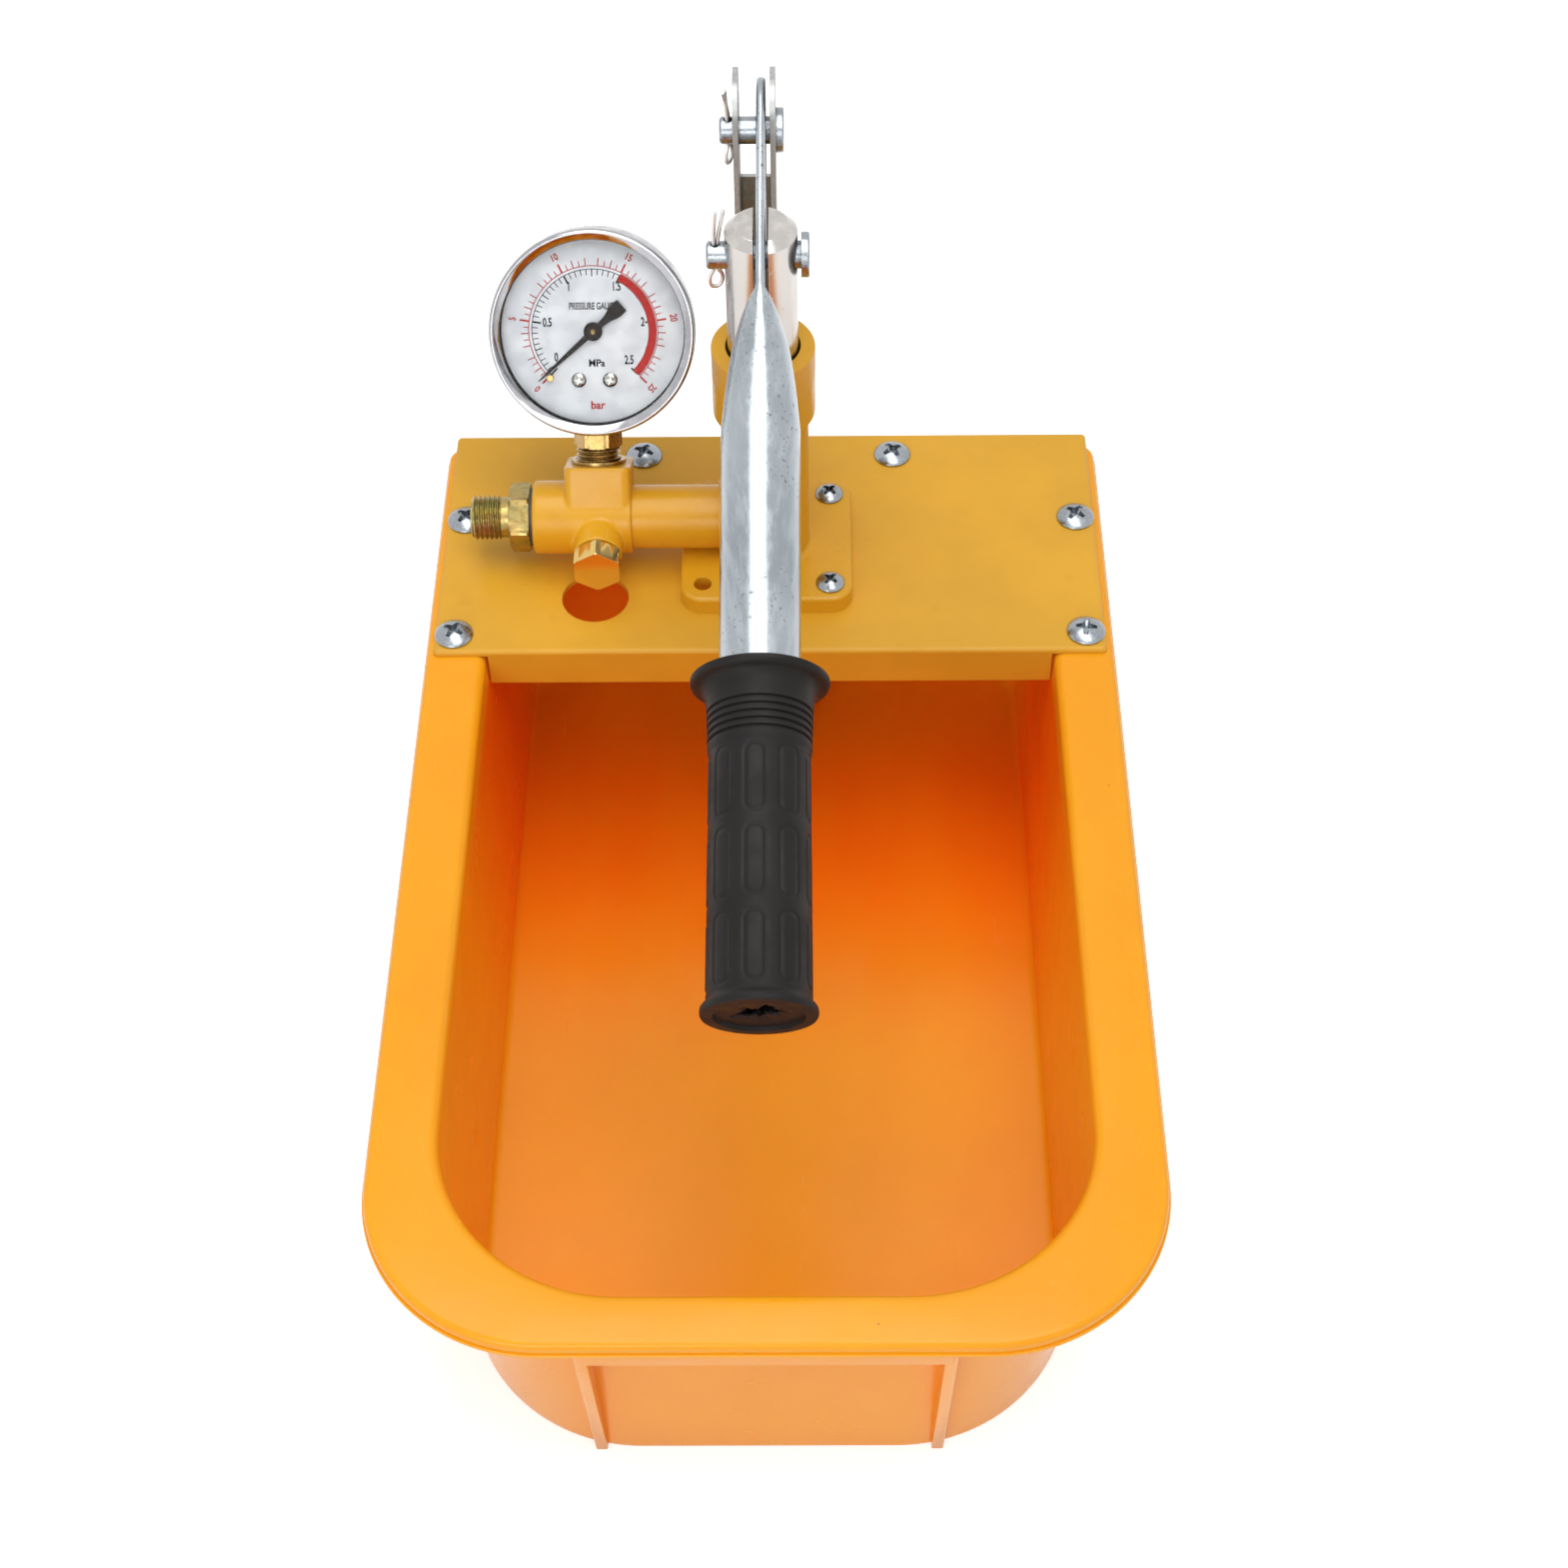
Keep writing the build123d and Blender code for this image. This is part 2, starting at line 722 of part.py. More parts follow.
link_base_pin = clevis_pin(link_x, link_base_y, base_pin_z, link_pin_left, link_pin_right)
save(link_base_pin, "link_base_pin")
link_base_cotter = split_pin(link_x, link_base_y, base_pin_z, link_pin_left, split_lean)
save(link_base_cotter, "link_base_cotter")

# Lever: a tube pressed flat behind the plunger pin. Each row of the flare's shares says how far along
# the flare a section lies and how far its width and its height have gone from the blade to the round tube
pivot_station = lever_arm
tube_end = grip_end - grip_cup_depth - grip_cap_thickness
flare_stations = [
    (
        flare_start + along * (flare_end - flare_start),
        blade_thickness + wide * (tube_diameter - blade_thickness),
        blade_height + high * (tube_diameter - blade_height),
    )
    for along, wide, high in flare_shares
]


def lever_section(station):
    """The plane across the lever at a distance in front of the plunger pin."""
    origin = lever_plane.from_local_coords(Vector(pivot_station + station, 0, 0))
    return Plane(origin=origin, x_dir=lever_plane.z_dir, z_dir=lever_plane.x_dir)


with BuildPart() as lever:
    with BuildSketch(lever_plane.offset(-blade_thickness / 2)):
        with BuildLine():
            Polyline(
                (-blade_end, -blade_height / 2),
                (pivot_station + flare_start + tube_wall, -blade_height / 2),
                (pivot_station + flare_start + tube_wall, blade_height / 2),
                (-blade_end, blade_height / 2),
                close=True,
            )
        make_face()
        fillet(vertices().group_by(Axis.X)[0], blade_corner)
    extrude(amount=blade_thickness)
    for station, width, height in flare_stations:
        with BuildSketch(lever_section(station)):
            Ellipse(width / 2, height / 2)
    loft()
    with BuildSketch(lever_section(flare_end)):
        Circle(tube_diameter / 2)
    extrude(amount=tube_end - flare_end)
    for station, width, height in flare_stations[2:]:
        with BuildSketch(lever_section(station)):
            Ellipse(width / 2 - tube_wall, height / 2 - tube_wall)
    loft(mode=Mode.SUBTRACT)
    with BuildSketch(lever_section(flare_end)):
        Circle(tube_diameter / 2 - tube_wall)
    extrude(amount=tube_end - flare_end, mode=Mode.SUBTRACT)
    with BuildSketch(lever_plane):
        Circle(pin_diameter / 2 + running_gap)
        with Locations((pivot_station - open_pivot_slot / 2, 0)):
            SlotCenterToCenter(open_pivot_slot, pin_diameter + 2 * pin_slack)
    extrude(amount=tube_diameter, both=True, mode=Mode.SUBTRACT)
save(lever, "lever")

# Grip: a rubber sleeve with a guard flange, five rings and a flared end with a holed cap
with BuildPart() as grip:
    with BuildSketch(Plane(origin=lever_plane.origin, x_dir=lever_plane.x_dir, z_dir=lever_plane.y_dir)):
        bore_radius = tube_diameter / 2 + running_gap
        start = pivot_station + grip_start
        end = pivot_station + grip_end
        neck_end = start + grip_flange_thickness + grip_neck_length
        with BuildLine():
            Polyline(
                (start, bore_radius),
                (start, grip_flange_diameter / 2),
                (start + grip_flange_thickness, grip_flange_diameter / 2),
                (start + grip_flange_thickness, grip_neck_diameter / 2 + grip_neck_length / 2),
                (neck_end, grip_neck_diameter / 2),
                (neck_end + grip_ring_pitch, grip_diameter / 2),
                (end - 2 * grip_end_flange_thickness, grip_end_diameter / 2),
                (end - grip_end_flange_thickness, grip_end_flange_diameter / 2),
                (end, grip_end_flange_diameter / 2),
                (end, grip_cup_diameter / 2),
                (end - grip_cup_depth, grip_cup_diameter / 2),
                (end - grip_cup_depth, grip_cap_hole / 2),
                (pivot_station + tube_end + running_gap, grip_cap_hole / 2),
                (pivot_station + tube_end + running_gap, bore_radius),
                close=True,
            )
        make_face()
        ring_start = neck_end + grip_ring_pitch + grip_ring_width
        for turn in range(grip_ring_count):
            with Locations((ring_start + turn * grip_ring_pitch, grip_diameter / 2 + grip_ring_depth / 2)):
                Rectangle(grip_ring_width, 3 * grip_ring_depth, mode=Mode.SUBTRACT)
    revolve(axis=Axis(origin=lever_plane.origin, direction=lever_plane.x_dir))
save(grip, "grip")

# Link: a bent channel, two cheeks and a web behind, that rocks on the lug and carries the lever
web_start = link_web_start
web_end = link_length - link_web_clear
with BuildPart() as link:
    for side in (-1, 1):
        cheek_x = side * (link_gap + link_sheet) / 2
        with BuildSketch(link_plane.offset(cheek_x - link_sheet / 2)):
            with BuildLine():
                Polyline(
                    (-link_bottom, -link_back),
                    (link_length + link_top, -link_back),
                    (link_length + link_top, link_front),
                    (-link_bottom, link_front),
                    close=True,
                )
            make_face()
            fillet(vertices().group_by(Axis.X)[-1], link_top_corner)
            fillet(vertices().group_by(Axis.X)[0], link_top_corner)
            with Locations((0, 0), (link_length, 0)):
                Circle(pin_diameter / 2 + running_gap, mode=Mode.SUBTRACT)
        extrude(amount=link_sheet)
    with BuildSketch(link_plane):
        with BuildLine():
            Polyline(
                (web_start, -link_back),
                (web_end, -link_back),
                (web_end, -link_back + link_sheet),
                (web_start, -link_back + link_sheet),
                close=True,
            )
        make_face()
    extrude(amount=link_gap / 2 + link_sheet, both=True)
save(link, "link")

# Suction side: a brass ball cage in the spigot, a tube and a strainer near the tub's floor
cage_top_z = deck_top_z - spigot_length + cage_length - nipple_length / 2
cage_bottom_z = cage_top_z - cage_length
inlet_seat_z = cage_bottom_z + cage_floor
ball_radius = ball_diameter / 2


def seat_rise(port_diameter):
    """How far a ball's centre stands above the sharp edge of its port, with a hair of clearance."""
    return (ball_radius**2 - (port_diameter / 2) ** 2) ** 0.5 + running_gap


inlet_ball_z = inlet_seat_z + seat_rise(cage_port)
stop_z = inlet_ball_z + ball_radius + ball_lift + running_gap
with BuildPart() as inlet_seat:
    with BuildSketch(Plane.XY.offset(cage_bottom_z)):
        with Locations((pump_x, pump_y)):
            Circle(cage_diameter / 2)
    extrude(amount=stop_z + stop_thickness - cage_bottom_z)
    with BuildSketch(Plane.XY.offset(cage_bottom_z)):
        with Locations((pump_x, pump_y)):
            Circle(nipple_diameter / 2)
    extrude(amount=-nipple_length)
    with BuildSketch(Plane.XY.offset(inlet_seat_z)):
        with Locations((pump_x, pump_y)):
            Circle(cage_bore / 2)
    extrude(amount=cage_length, mode=Mode.SUBTRACT)
    with Locations((pump_x, pump_y, inlet_seat_z)):
        Hole(cage_port / 2)
save(inlet_seat, "inlet_seat")


def ported_disc(plane, diameter, thickness):
    """A stop disc with a ring of ports round its middle."""
    with BuildPart() as disc:
        with BuildSketch(plane):
            Circle(diameter / 2)
            with PolarLocations(diameter / 2 * stop_pitch_share, stop_hole_count):
                Circle(stop_hole_diameter / 2, mode=Mode.SUBTRACT)
        extrude(amount=thickness)
    return disc


inlet_stop = ported_disc(
    Plane(origin=(pump_x, pump_y, stop_z)), cage_bore - 2 * running_gap, stop_thickness
)
save(inlet_stop, "inlet_stop")

with BuildPart() as inlet_ball:
    with Locations((pump_x, pump_y, inlet_ball_z)):
        Sphere(ball_radius)
save(inlet_ball, "inlet_ball")

strainer_bottom_z = floor_thickness + strainer_floor_gap
strainer_top_z = strainer_bottom_z + strainer_height
suction_top_z = cage_bottom_z - nipple_length + suction_overlap
with BuildPart() as suction_tube:
    with BuildSketch(Plane.XY.offset(strainer_top_z - strainer_wall)):
        with Locations((pump_x, pump_y)):
            ring(suction_outer, nipple_diameter + 2 * running_gap)
    extrude(amount=suction_top_z - strainer_top_z + strainer_wall)
save(suction_tube, "suction_tube")

with BuildPart() as strainer:
    with BuildSketch(Plane.XY.offset(strainer_bottom_z)):
        with Locations((pump_x, pump_y)):
            Circle(strainer_diameter / 2)
    extrude(amount=strainer_height)
    with BuildSketch(Plane.XY.offset(strainer_bottom_z + strainer_wall)):
        with Locations((pump_x, pump_y)):
            Circle(strainer_diameter / 2 - strainer_wall)
    extrude(amount=strainer_height - 2 * strainer_wall, mode=Mode.SUBTRACT)
    with BuildSketch(Plane.XY.offset(strainer_top_z - strainer_wall)):
        with Locations((pump_x, pump_y)):
            Circle(suction_outer / 2 + running_gap)
    extrude(amount=strainer_wall, mode=Mode.SUBTRACT)
    slot_z = strainer_bottom_z + strainer_height / 2
    with BuildSketch(Plane.XY.offset(slot_z - strainer_slot_height / 2)):
        with Locations((pump_x, pump_y)):
            with PolarLocations(strainer_diameter / 2, strainer_slots):
                Rectangle(2 * strainer_wall + overrun, strainer_slot_width)
    extrude(amount=strainer_slot_height, mode=Mode.SUBTRACT)
save(strainer, "strainer")

# Delivery side: a pipe with a ball check valve at its pump end
valve_right_x = valve_x + valve_width / 2
valve_left_x = valve_x - valve_width / 2
pipe_right_x = pump_x - socket_floor_x - running_gap
pipe_left_x = valve_right_x - pipe_socket_depth
with BuildPart() as delivery_pipe:
    with BuildSketch(outlet_plane.offset(pipe_left_x + running_gap)):
        ring(pipe_diameter, pipe_bore)
    extrude(amount=pipe_right_x - pipe_left_x - running_gap)
save(delivery_pipe, "delivery_pipe")

outlet_seat_right_x = pipe_right_x - outlet_seat_inset
outlet_seat_left_x = outlet_seat_right_x - outlet_seat_length
with BuildPart() as outlet_seat:
    with BuildSketch(outlet_plane.offset(outlet_seat_left_x)):
        ring(pipe_bore - 2 * running_gap, cage_port)
    extrude(amount=outlet_seat_length)
save(outlet_seat, "outlet_seat")

outlet_ball_x = outlet_seat_left_x - seat_rise(cage_port)
with BuildPart() as outlet_ball:
    with Locations((outlet_ball_x, pump_y, pipe_z)):
        Sphere(ball_radius)
save(outlet_ball, "outlet_ball")

outlet_stop_x = outlet_ball_x - ball_radius - ball_lift - running_gap
outlet_stop = ported_disc(
    outlet_plane.offset(outlet_stop_x - stop_thickness), pipe_bore - 2 * running_gap, stop_thickness
)
save(outlet_stop, "outlet_stop")

# Where the release needle stands behind its screw, measured forward from the pipe's axis
needle_back = release_boss_reach - release_shank_length + needle_pocket - running_gap
needle_front = needle_back - needle_length

# Valve block: a tilted body on the pipe, a boss for the release screw and a collar for the outlet
end_collar_x = valve_left_x - end_collar_length
with BuildPart() as valve_block:
    with BuildSketch(valve_plane.offset(-valve_bottom)):
        Rectangle(valve_width, valve_depth)
    extrude(amount=valve_bottom + valve_top)
    upright = edges().filter_by(lambda edge: abs((edge % 0).dot(valve_plane.z_dir)) > cos(tilt))
    fillet(upright, valve_edge_radius)
    foot_edges = faces().sort_by(Axis(valve_plane.origin, valve_plane.z_dir))[0].edges()
    fillet(foot_edges, valve_bottom_radius)
    top_edges = faces().sort_by(Axis(valve_plane.origin, valve_plane.z_dir))[-1].edges()
    fillet(top_edges, edge_break)
    with BuildSketch(release_plane):
        Circle(release_boss_diameter / 2)
    extrude(amount=release_boss_reach)
    with BuildSketch(outlet_plane.offset(end_collar_x)):
        Circle(end_collar_diameter / 2)
    extrude(amount=end_collar_length + valve_width)
    fillet(edges().group_by(Axis.X)[0], edge_break * 2)
    with BuildSketch(outlet_plane.offset(pipe_left_x)):
        Circle(pipe_diameter / 2 + running_gap)
    extrude(amount=pipe_diameter, mode=Mode.SUBTRACT)
    with BuildSketch(outlet_plane.offset(end_collar_x - overrun)):
        Circle(gallery_diameter / 2)
    extrude(amount=pipe_left_x - end_collar_x + 2 * overrun, mode=Mode.SUBTRACT)
    with BuildSketch(outlet_plane.offset(end_collar_x - overrun)):
        Circle(outlet_thread_diameter / 2 + running_gap)
    extrude(amount=outlet_thread_depth + overrun, mode=Mode.SUBTRACT)
    with BuildSketch(valve_plane.offset(valve_top - socket_thread_depth - running_gap)):
        Circle(socket_thread_diameter / 2 + running_gap)
    extrude(amount=valve_depth, mode=Mode.SUBTRACT)
    with BuildSketch(valve_plane):
        Circle(socket_bore / 2)
    extrude(amount=valve_top, mode=Mode.SUBTRACT)
    with BuildSketch(release_plane.offset(release_boss_reach)):
        Circle(release_shank_diameter / 2 + running_gap)
    extrude(amount=needle_front - running_gap - release_boss_reach, mode=Mode.SUBTRACT)
    with BuildSketch(release_plane.offset(release_boss_reach)):
        Circle(packing_diameter / 2 + running_gap)
    extrude(amount=-packing_thickness, mode=Mode.SUBTRACT)
    with BuildSketch(release_plane):
        Circle(needle_diameter / 4)
    extrude(amount=release_boss_reach, mode=Mode.SUBTRACT)
    with BuildSketch(Plane.XY.offset(pipe_z)):
        with Locations((valve_x, pump_y - needle_back + needle_pocket + release_port_diameter)):
            Circle(release_port_diameter / 2)
    extrude(amount=-release_boss_diameter, mode=Mode.SUBTRACT)
save(valve_block, "valve_block")

# Outlet nipple: hexagon, neck and threaded nose, sealed on the collar by a washer
washer_left_x = end_collar_x - washer_thickness
hex_left_x = washer_left_x - outlet_hex_length
neck_left_x = hex_left_x - outlet_neck_length
nose_x = neck_left_x - outlet_thread_length
with BuildPart() as outlet_washer:
    with BuildSketch(outlet_plane.offset(washer_left_x)):
        ring(washer_diameter, outlet_thread_diameter + 2 * running_gap)
    extrude(amount=washer_thickness)
save(outlet_washer, "outlet_washer")

with BuildPart() as outlet_nipple:
    with BuildSketch(outlet_plane.offset(hex_left_x)):
        RegularPolygon(outlet_hex_flats / 2, 6, major_radius=False, rotation=outlet_hex_turn)
    extrude(amount=outlet_hex_length)
    chamfer(edges().group_by(Axis.X)[0], edge_break)
    with BuildSketch(outlet_plane.offset(neck_left_x)):
        Circle(outlet_neck_diameter / 2)
    extrude(amount=outlet_neck_length)
    with BuildSketch(outlet_plane.offset(nose_x)):
        Circle(outlet_thread_diameter / 2)
    extrude(amount=outlet_thread_length)
    chamfer(edges().group_by(Axis.X)[0], edge_break)
    with BuildSketch(outlet_plane.offset(washer_left_x)):
        Circle(outlet_thread_diameter / 2)
    extrude(amount=outlet_thread_depth + washer_thickness - running_gap)
    with BuildSketch(outlet_plane.offset(nose_x - overrun)):
        Circle(outlet_bore / 2)
    extrude(amount=end_collar_x + outlet_thread_depth - nose_x + 2 * overrun, mode=Mode.SUBTRACT)
save(outlet_nipple, "outlet_nipple")

# Release side: a hexagon screw that holds a needle on its seat, with a packing ring under its head
release_head_back = release_boss_reach + release_head_gap
with BuildPart() as release_screw:
    with BuildSketch(release_plane.offset(release_head_back)):
        RegularPolygon(release_flats / 2, 6, major_radius=False, rotation=30)
    extrude(amount=release_head_length)
    chamfer(edges().group_by(Axis.Y)[0], edge_break)
    with BuildSketch(release_plane.offset(release_head_back)):
        Circle(release_shank_diameter / 2 - running_gap)
    extrude(amount=-release_shank_length + release_head_gap)
    with BuildSketch(release_plane.offset(release_boss_reach - release_shank_length - overrun)):
        Circle(needle_diameter / 2 + running_gap)
    extrude(amount=needle_pocket + overrun, mode=Mode.SUBTRACT)
save(release_screw, "release_screw")

with BuildPart() as release_needle:
    with BuildSketch(release_plane.offset(needle_back)):
        Circle(needle_diameter / 2)
    extrude(amount=-needle_length)
    chamfer(edges().group_by(Axis.Y)[-1], needle_diameter / 4)
save(release_needle, "release_needle")

with BuildPart() as release_packing:
    with BuildSketch(release_plane.offset(release_boss_reach - packing_thickness)):
        ring(packing_diameter, release_shank_diameter + 2 * running_gap)
    extrude(amount=packing_thickness)
save(release_packing, "release_packing")

# Gauge: stem, washer, case, bezel, glass, gasket, dial and movement
gauge_up = Plane(origin=gauge_plane.origin, x_dir=(1, 0, 0), z_dir=gauge_plane.y_dir)
stem_bottom = valve_top - gauge_reach
hex_top = -bezel_diameter / 2 - edge_break / 2
with BuildPart() as gauge_socket:
    with BuildSketch(gauge_up.offset(stem_bottom - socket_thread_depth)):
        Circle(socket_thread_diameter / 2)
    extrude(amount=hex_top - stem_bottom + socket_thread_depth)
    with BuildSketch(gauge_up.offset(hex_top - socket_hex_length)):
        RegularPolygon(socket_flats / 2, 6, major_radius=False)
    extrude(amount=socket_hex_length)
    with BuildSketch(gauge_up.offset(hex_top)):
        Circle(socket_neck_diameter / 2)
    extrude(amount=socket_block_top - hex_top)
    with BuildSketch(gauge_plane.offset(socket_foot_back)):
        with Locations((0, socket_block_top - socket_foot_height / 2)):
            Rectangle(socket_foot_width, socket_foot_height)
    extrude(amount=socket_neck_diameter / 2 - socket_foot_back)
    with BuildSketch(gauge_up.offset(stem_bottom - socket_thread_depth)):
        Circle(socket_bore / 2)
    extrude(amount=socket_block_top - stem_bottom + socket_thread_depth - wall, mode=Mode.SUBTRACT)
save(gauge_socket, "gauge_socket")

with BuildPart() as gauge_washer:
    with BuildSketch(gauge_up.offset(stem_bottom)):
        ring(gauge_washer_diameter, socket_thread_diameter + 2 * running_gap)
    extrude(amount=gauge_washer_thickness)
save(gauge_washer, "gauge_washer")

with BuildPart() as gauge_case:
    with BuildSketch(gauge_plane.offset(-case_back)):
        Circle(case_diameter / 2)
    extrude(amount=case_back + case_front)
    back_face = faces().sort_by(Axis(gauge_plane.origin, gauge_plane.z_dir))[0]
    fillet(back_face.edges(), edge_break * 3)
    with BuildSketch(gauge_plane.offset(-case_back + case_wall)):
        Circle(case_diameter / 2 - case_wall)
    extrude(amount=case_back + case_front, mode=Mode.SUBTRACT)
    with BuildSketch(gauge_up.offset(hex_top)):
        Circle(socket_neck_diameter / 2 + running_gap)
    extrude(amount=socket_block_top - socket_foot_height - hex_top, mode=Mode.SUBTRACT)
save(gauge_case, "gauge_case")

gauge_side = Plane(origin=gauge_plane.origin, x_dir=gauge_plane.x_dir, z_dir=-gauge_plane.y_dir)
bezel_outer = bezel_diameter / 2
bezel_inner = case_diameter / 2 + running_gap
glass_back = bezel_front - glass_front_gap - glass_thickness
with BuildPart() as gauge_bezel:
    with BuildSketch(gauge_side):
        with BuildLine():
            Polyline(
                (bezel_inner, bezel_start),
                (bezel_outer, bezel_start),
                (bezel_outer, bezel_front),
                (bezel_lip, bezel_front),
                (bezel_lip, glass_back + glass_thickness),
                (bezel_inner, glass_back + glass_thickness),
                close=True,
            )
        make_face()
        fillet(vertices().group_by(Axis.Y)[-1].sort_by(Axis.X)[-1], bezel_round)
    revolve(axis=Axis(origin=gauge_plane.origin, direction=gauge_plane.z_dir))
save(gauge_bezel, "gauge_bezel")

glass_diameter = 2 * (bezel_inner - seat_gap)
with BuildPart() as gauge_glass:
    with BuildSketch(gauge_plane.offset(glass_back)):
        Circle(glass_diameter / 2)
    extrude(amount=glass_thickness)
save(gauge_glass, "gauge_glass")

with BuildPart() as gauge_gasket:
    with BuildSketch(gauge_plane.offset(case_front)):
        ring(glass_diameter, glass_diameter - 2 * gasket_width)
    extrude(amount=glass_back - case_front)
save(gauge_gasket, "gauge_gasket")

dial_diameter = case_diameter - 2 * case_wall - 2 * dial_gap
with BuildPart() as gauge_dial:
    with BuildSketch(gauge_plane.offset(dial_back)):
        ring(dial_diameter, spindle_diameter + 2 * dial_gap)
        with Locations((-dial_screw_x, dial_screw_y), (dial_screw_x, dial_screw_y)):
            Circle(dial_screw_shank / 2 + running_gap, mode=Mode.SUBTRACT)
    extrude(amount=dial_thickness)
save(gauge_dial, "gauge_dial")

with BuildPart() as gauge_dial_screws:
    with BuildSketch(gauge_plane.offset(dial_front)):
        with Locations((-dial_screw_x, dial_screw_y), (dial_screw_x, dial_screw_y)):
            Circle(dial_screw_head / 2)
    extrude(amount=dial_screw_head_height)
    with BuildSketch(gauge_plane.offset(dial_front)):
        with Locations((-dial_screw_x, dial_screw_y), (dial_screw_x, dial_screw_y)):
            Circle(dial_screw_shank / 2)
    extrude(amount=movement_front - dial_front - movement_plate_thickness)
save(gauge_dial_screws, "gauge_dial_screws")

stop_pin_angle = radians(zero_angle + stop_pin_lead)
with BuildPart() as gauge_stop_pin:
    with BuildSketch(gauge_plane.offset(dial_front)):
        with Locations((stop_pin_reach * cos(stop_pin_angle), stop_pin_reach * sin(stop_pin_angle))):
            Circle(stop_pin_diameter / 2)
    extrude(amount=stop_pin_height)
save(gauge_stop_pin, "gauge_stop_pin")

zero = radians(zero_angle)
pointer_frame = Plane(
    origin=gauge_plane.from_local_coords(Vector(0, 0, pointer_height)),
    x_dir=gauge_plane.x_dir * cos(zero) + gauge_plane.y_dir * sin(zero),
    z_dir=gauge_plane.z_dir,
)
with BuildPart() as gauge_pointer:
    with BuildSketch(pointer_frame):
        with BuildLine():
            Polyline(
                (pointer_length, -pointer_tip_width / 2),
                (pointer_length, pointer_tip_width / 2),
                (0, pointer_width / 2),
                (-pointer_tail / 2, pointer_width / 2),
                (-pointer_tail + pointer_tail_width, pointer_tail_width / 2),
                (-pointer_tail, pointer_tail_width / 2),
                (-pointer_tail, -pointer_tail_width / 2),
                (-pointer_tail + pointer_tail_width, -pointer_tail_width / 2),
                (-pointer_tail / 2, -pointer_width / 2),
                (0, -pointer_width / 2),
                close=True,
            )
        make_face()
        Circle(pointer_hub_diameter / 2)
        Circle(spindle_diameter / 2 + press_gap, mode=Mode.SUBTRACT)
    extrude(amount=pointer_thickness)
save(gauge_pointer, "gauge_pointer")

with BuildPart() as pinion:
    with BuildSketch(gauge_plane.offset(movement_back)):
        Circle(spindle_diameter / 2)
    extrude(amount=pointer_height + pointer_thickness - movement_back)
    with BuildSketch(gauge_plane.offset(pointer_height + pointer_thickness)):
        Circle(pointer_boss_diameter / 2)
    extrude(amount=pointer_boss_height)
    with BuildSketch(gauge_plane.offset(pinion_height)):
        Circle(pinion_diameter / 2)
    extrude(amount=pinion_thickness)
save(pinion, "pinion")

sector_y = -(sector_radius + pinion_diameter / 2 + sector_gear_gap)
sector_height = pinion_height + (pinion_thickness - sector_thickness) / 2
lean = radians(sector_rest_lean)
sector_plane = Plane(
    origin=gauge_plane.from_local_coords(Vector(0, sector_y, 0)),
    x_dir=gauge_plane.x_dir * cos(lean) - gauge_plane.y_dir * sin(lean),
    z_dir=gauge_plane.z_dir,
)
sector_reach = 2 * sector_radius
sector_spread = sector_reach * tan(radians(sector_half_angle))
with BuildPart() as sector_gear:
    with BuildSketch(sector_plane.offset(sector_height)):
        Circle(sector_radius)
        with BuildLine():
            Polyline((0, 0), (-sector_spread, sector_reach), (sector_spread, sector_reach), close=True)
        make_face(mode=Mode.INTERSECT)
        Circle(sector_pivot_diameter)
    extrude(amount=sector_thickness)
    with BuildSketch(sector_plane.offset(movement_back)):
        Circle(sector_pivot_diameter / 2)
    extrude(amount=movement_front - movement_back)
save(sector_gear, "sector_gear")

# Movement frame: two plates on corner posts, drilled for both spindles
with BuildPart() as movement_frame:
    plate_size = (2 * movement_half_width, movement_top + movement_bottom)
    plate_y = (movement_top - movement_bottom) / 2
    for level in (movement_back, movement_front - movement_plate_thickness):
        with BuildSketch(gauge_plane.offset(level)):
            with Locations((0, plate_y)):
                Rectangle(*plate_size)
        extrude(amount=movement_plate_thickness)
    with BuildSketch(gauge_plane.offset(movement_back)):
        with Locations((0, plate_y)):
            with GridLocations(
                plate_size[0] - movement_post_size, plate_size[1] - movement_post_size, 2, 2
            ):
                Circle(movement_post_size / 2)
    extrude(amount=movement_front - movement_back)
    with BuildSketch(gauge_plane.offset(movement_back)):
        Circle(spindle_diameter / 2 + running_gap)
        with Locations((0, sector_y)):
            Circle(sector_pivot_diameter / 2 + running_gap)
        with Locations((-dial_screw_x, dial_screw_y), (dial_screw_x, dial_screw_y)):
            Circle(dial_screw_shank / 2 + running_gap)
    extrude(amount=movement_front - movement_back, mode=Mode.SUBTRACT)
save(movement_frame, "movement_frame")

# Bourdon tube: a flattened tube bent almost full circle from the stem to a free tip
with BuildPart() as bourdon_tube:
    with BuildLine(gauge_plane.offset(bourdon_height)) as bourdon_path:
        CenterArc((0, 0), bourdon_radius, bourdon_start_angle, bourdon_sweep)
    with BuildSketch(
        Plane(
            origin=bourdon_path.line @ 0,
            x_dir=gauge_plane.z_dir,
            z_dir=bourdon_path.line % 0,
        )
    ):
        SlotOverall(bourdon_width, bourdon_depth)
    sweep(path=bourdon_path.line)
    with BuildSketch(gauge_plane.offset(socket_foot_back)):
        with Locations((0, socket_block_top - socket_foot_height / 2)):
            Rectangle(socket_foot_width, socket_foot_height)
    extrude(amount=case_back, mode=Mode.SUBTRACT)
save(bourdon_tube, "bourdon_tube")

print("link length", round(link_length, 2), "top pin", round(top_pin_y, 2), round(top_pin_z, 2))
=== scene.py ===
"""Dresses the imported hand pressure-test pump: its moulded tub, cast pump, lever with rubber grip and gauge.

Shapes are written in millimetres, and every finished mesh is in metres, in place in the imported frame.
"""

import json
from math import atan2, ceil, cos, degrees, hypot, pi, radians, sin, sqrt, tan, tau

import bmesh
import bpy
from bpy.props import FloatProperty, FloatVectorProperty, IntProperty, PointerProperty
from mathutils import Matrix, Vector

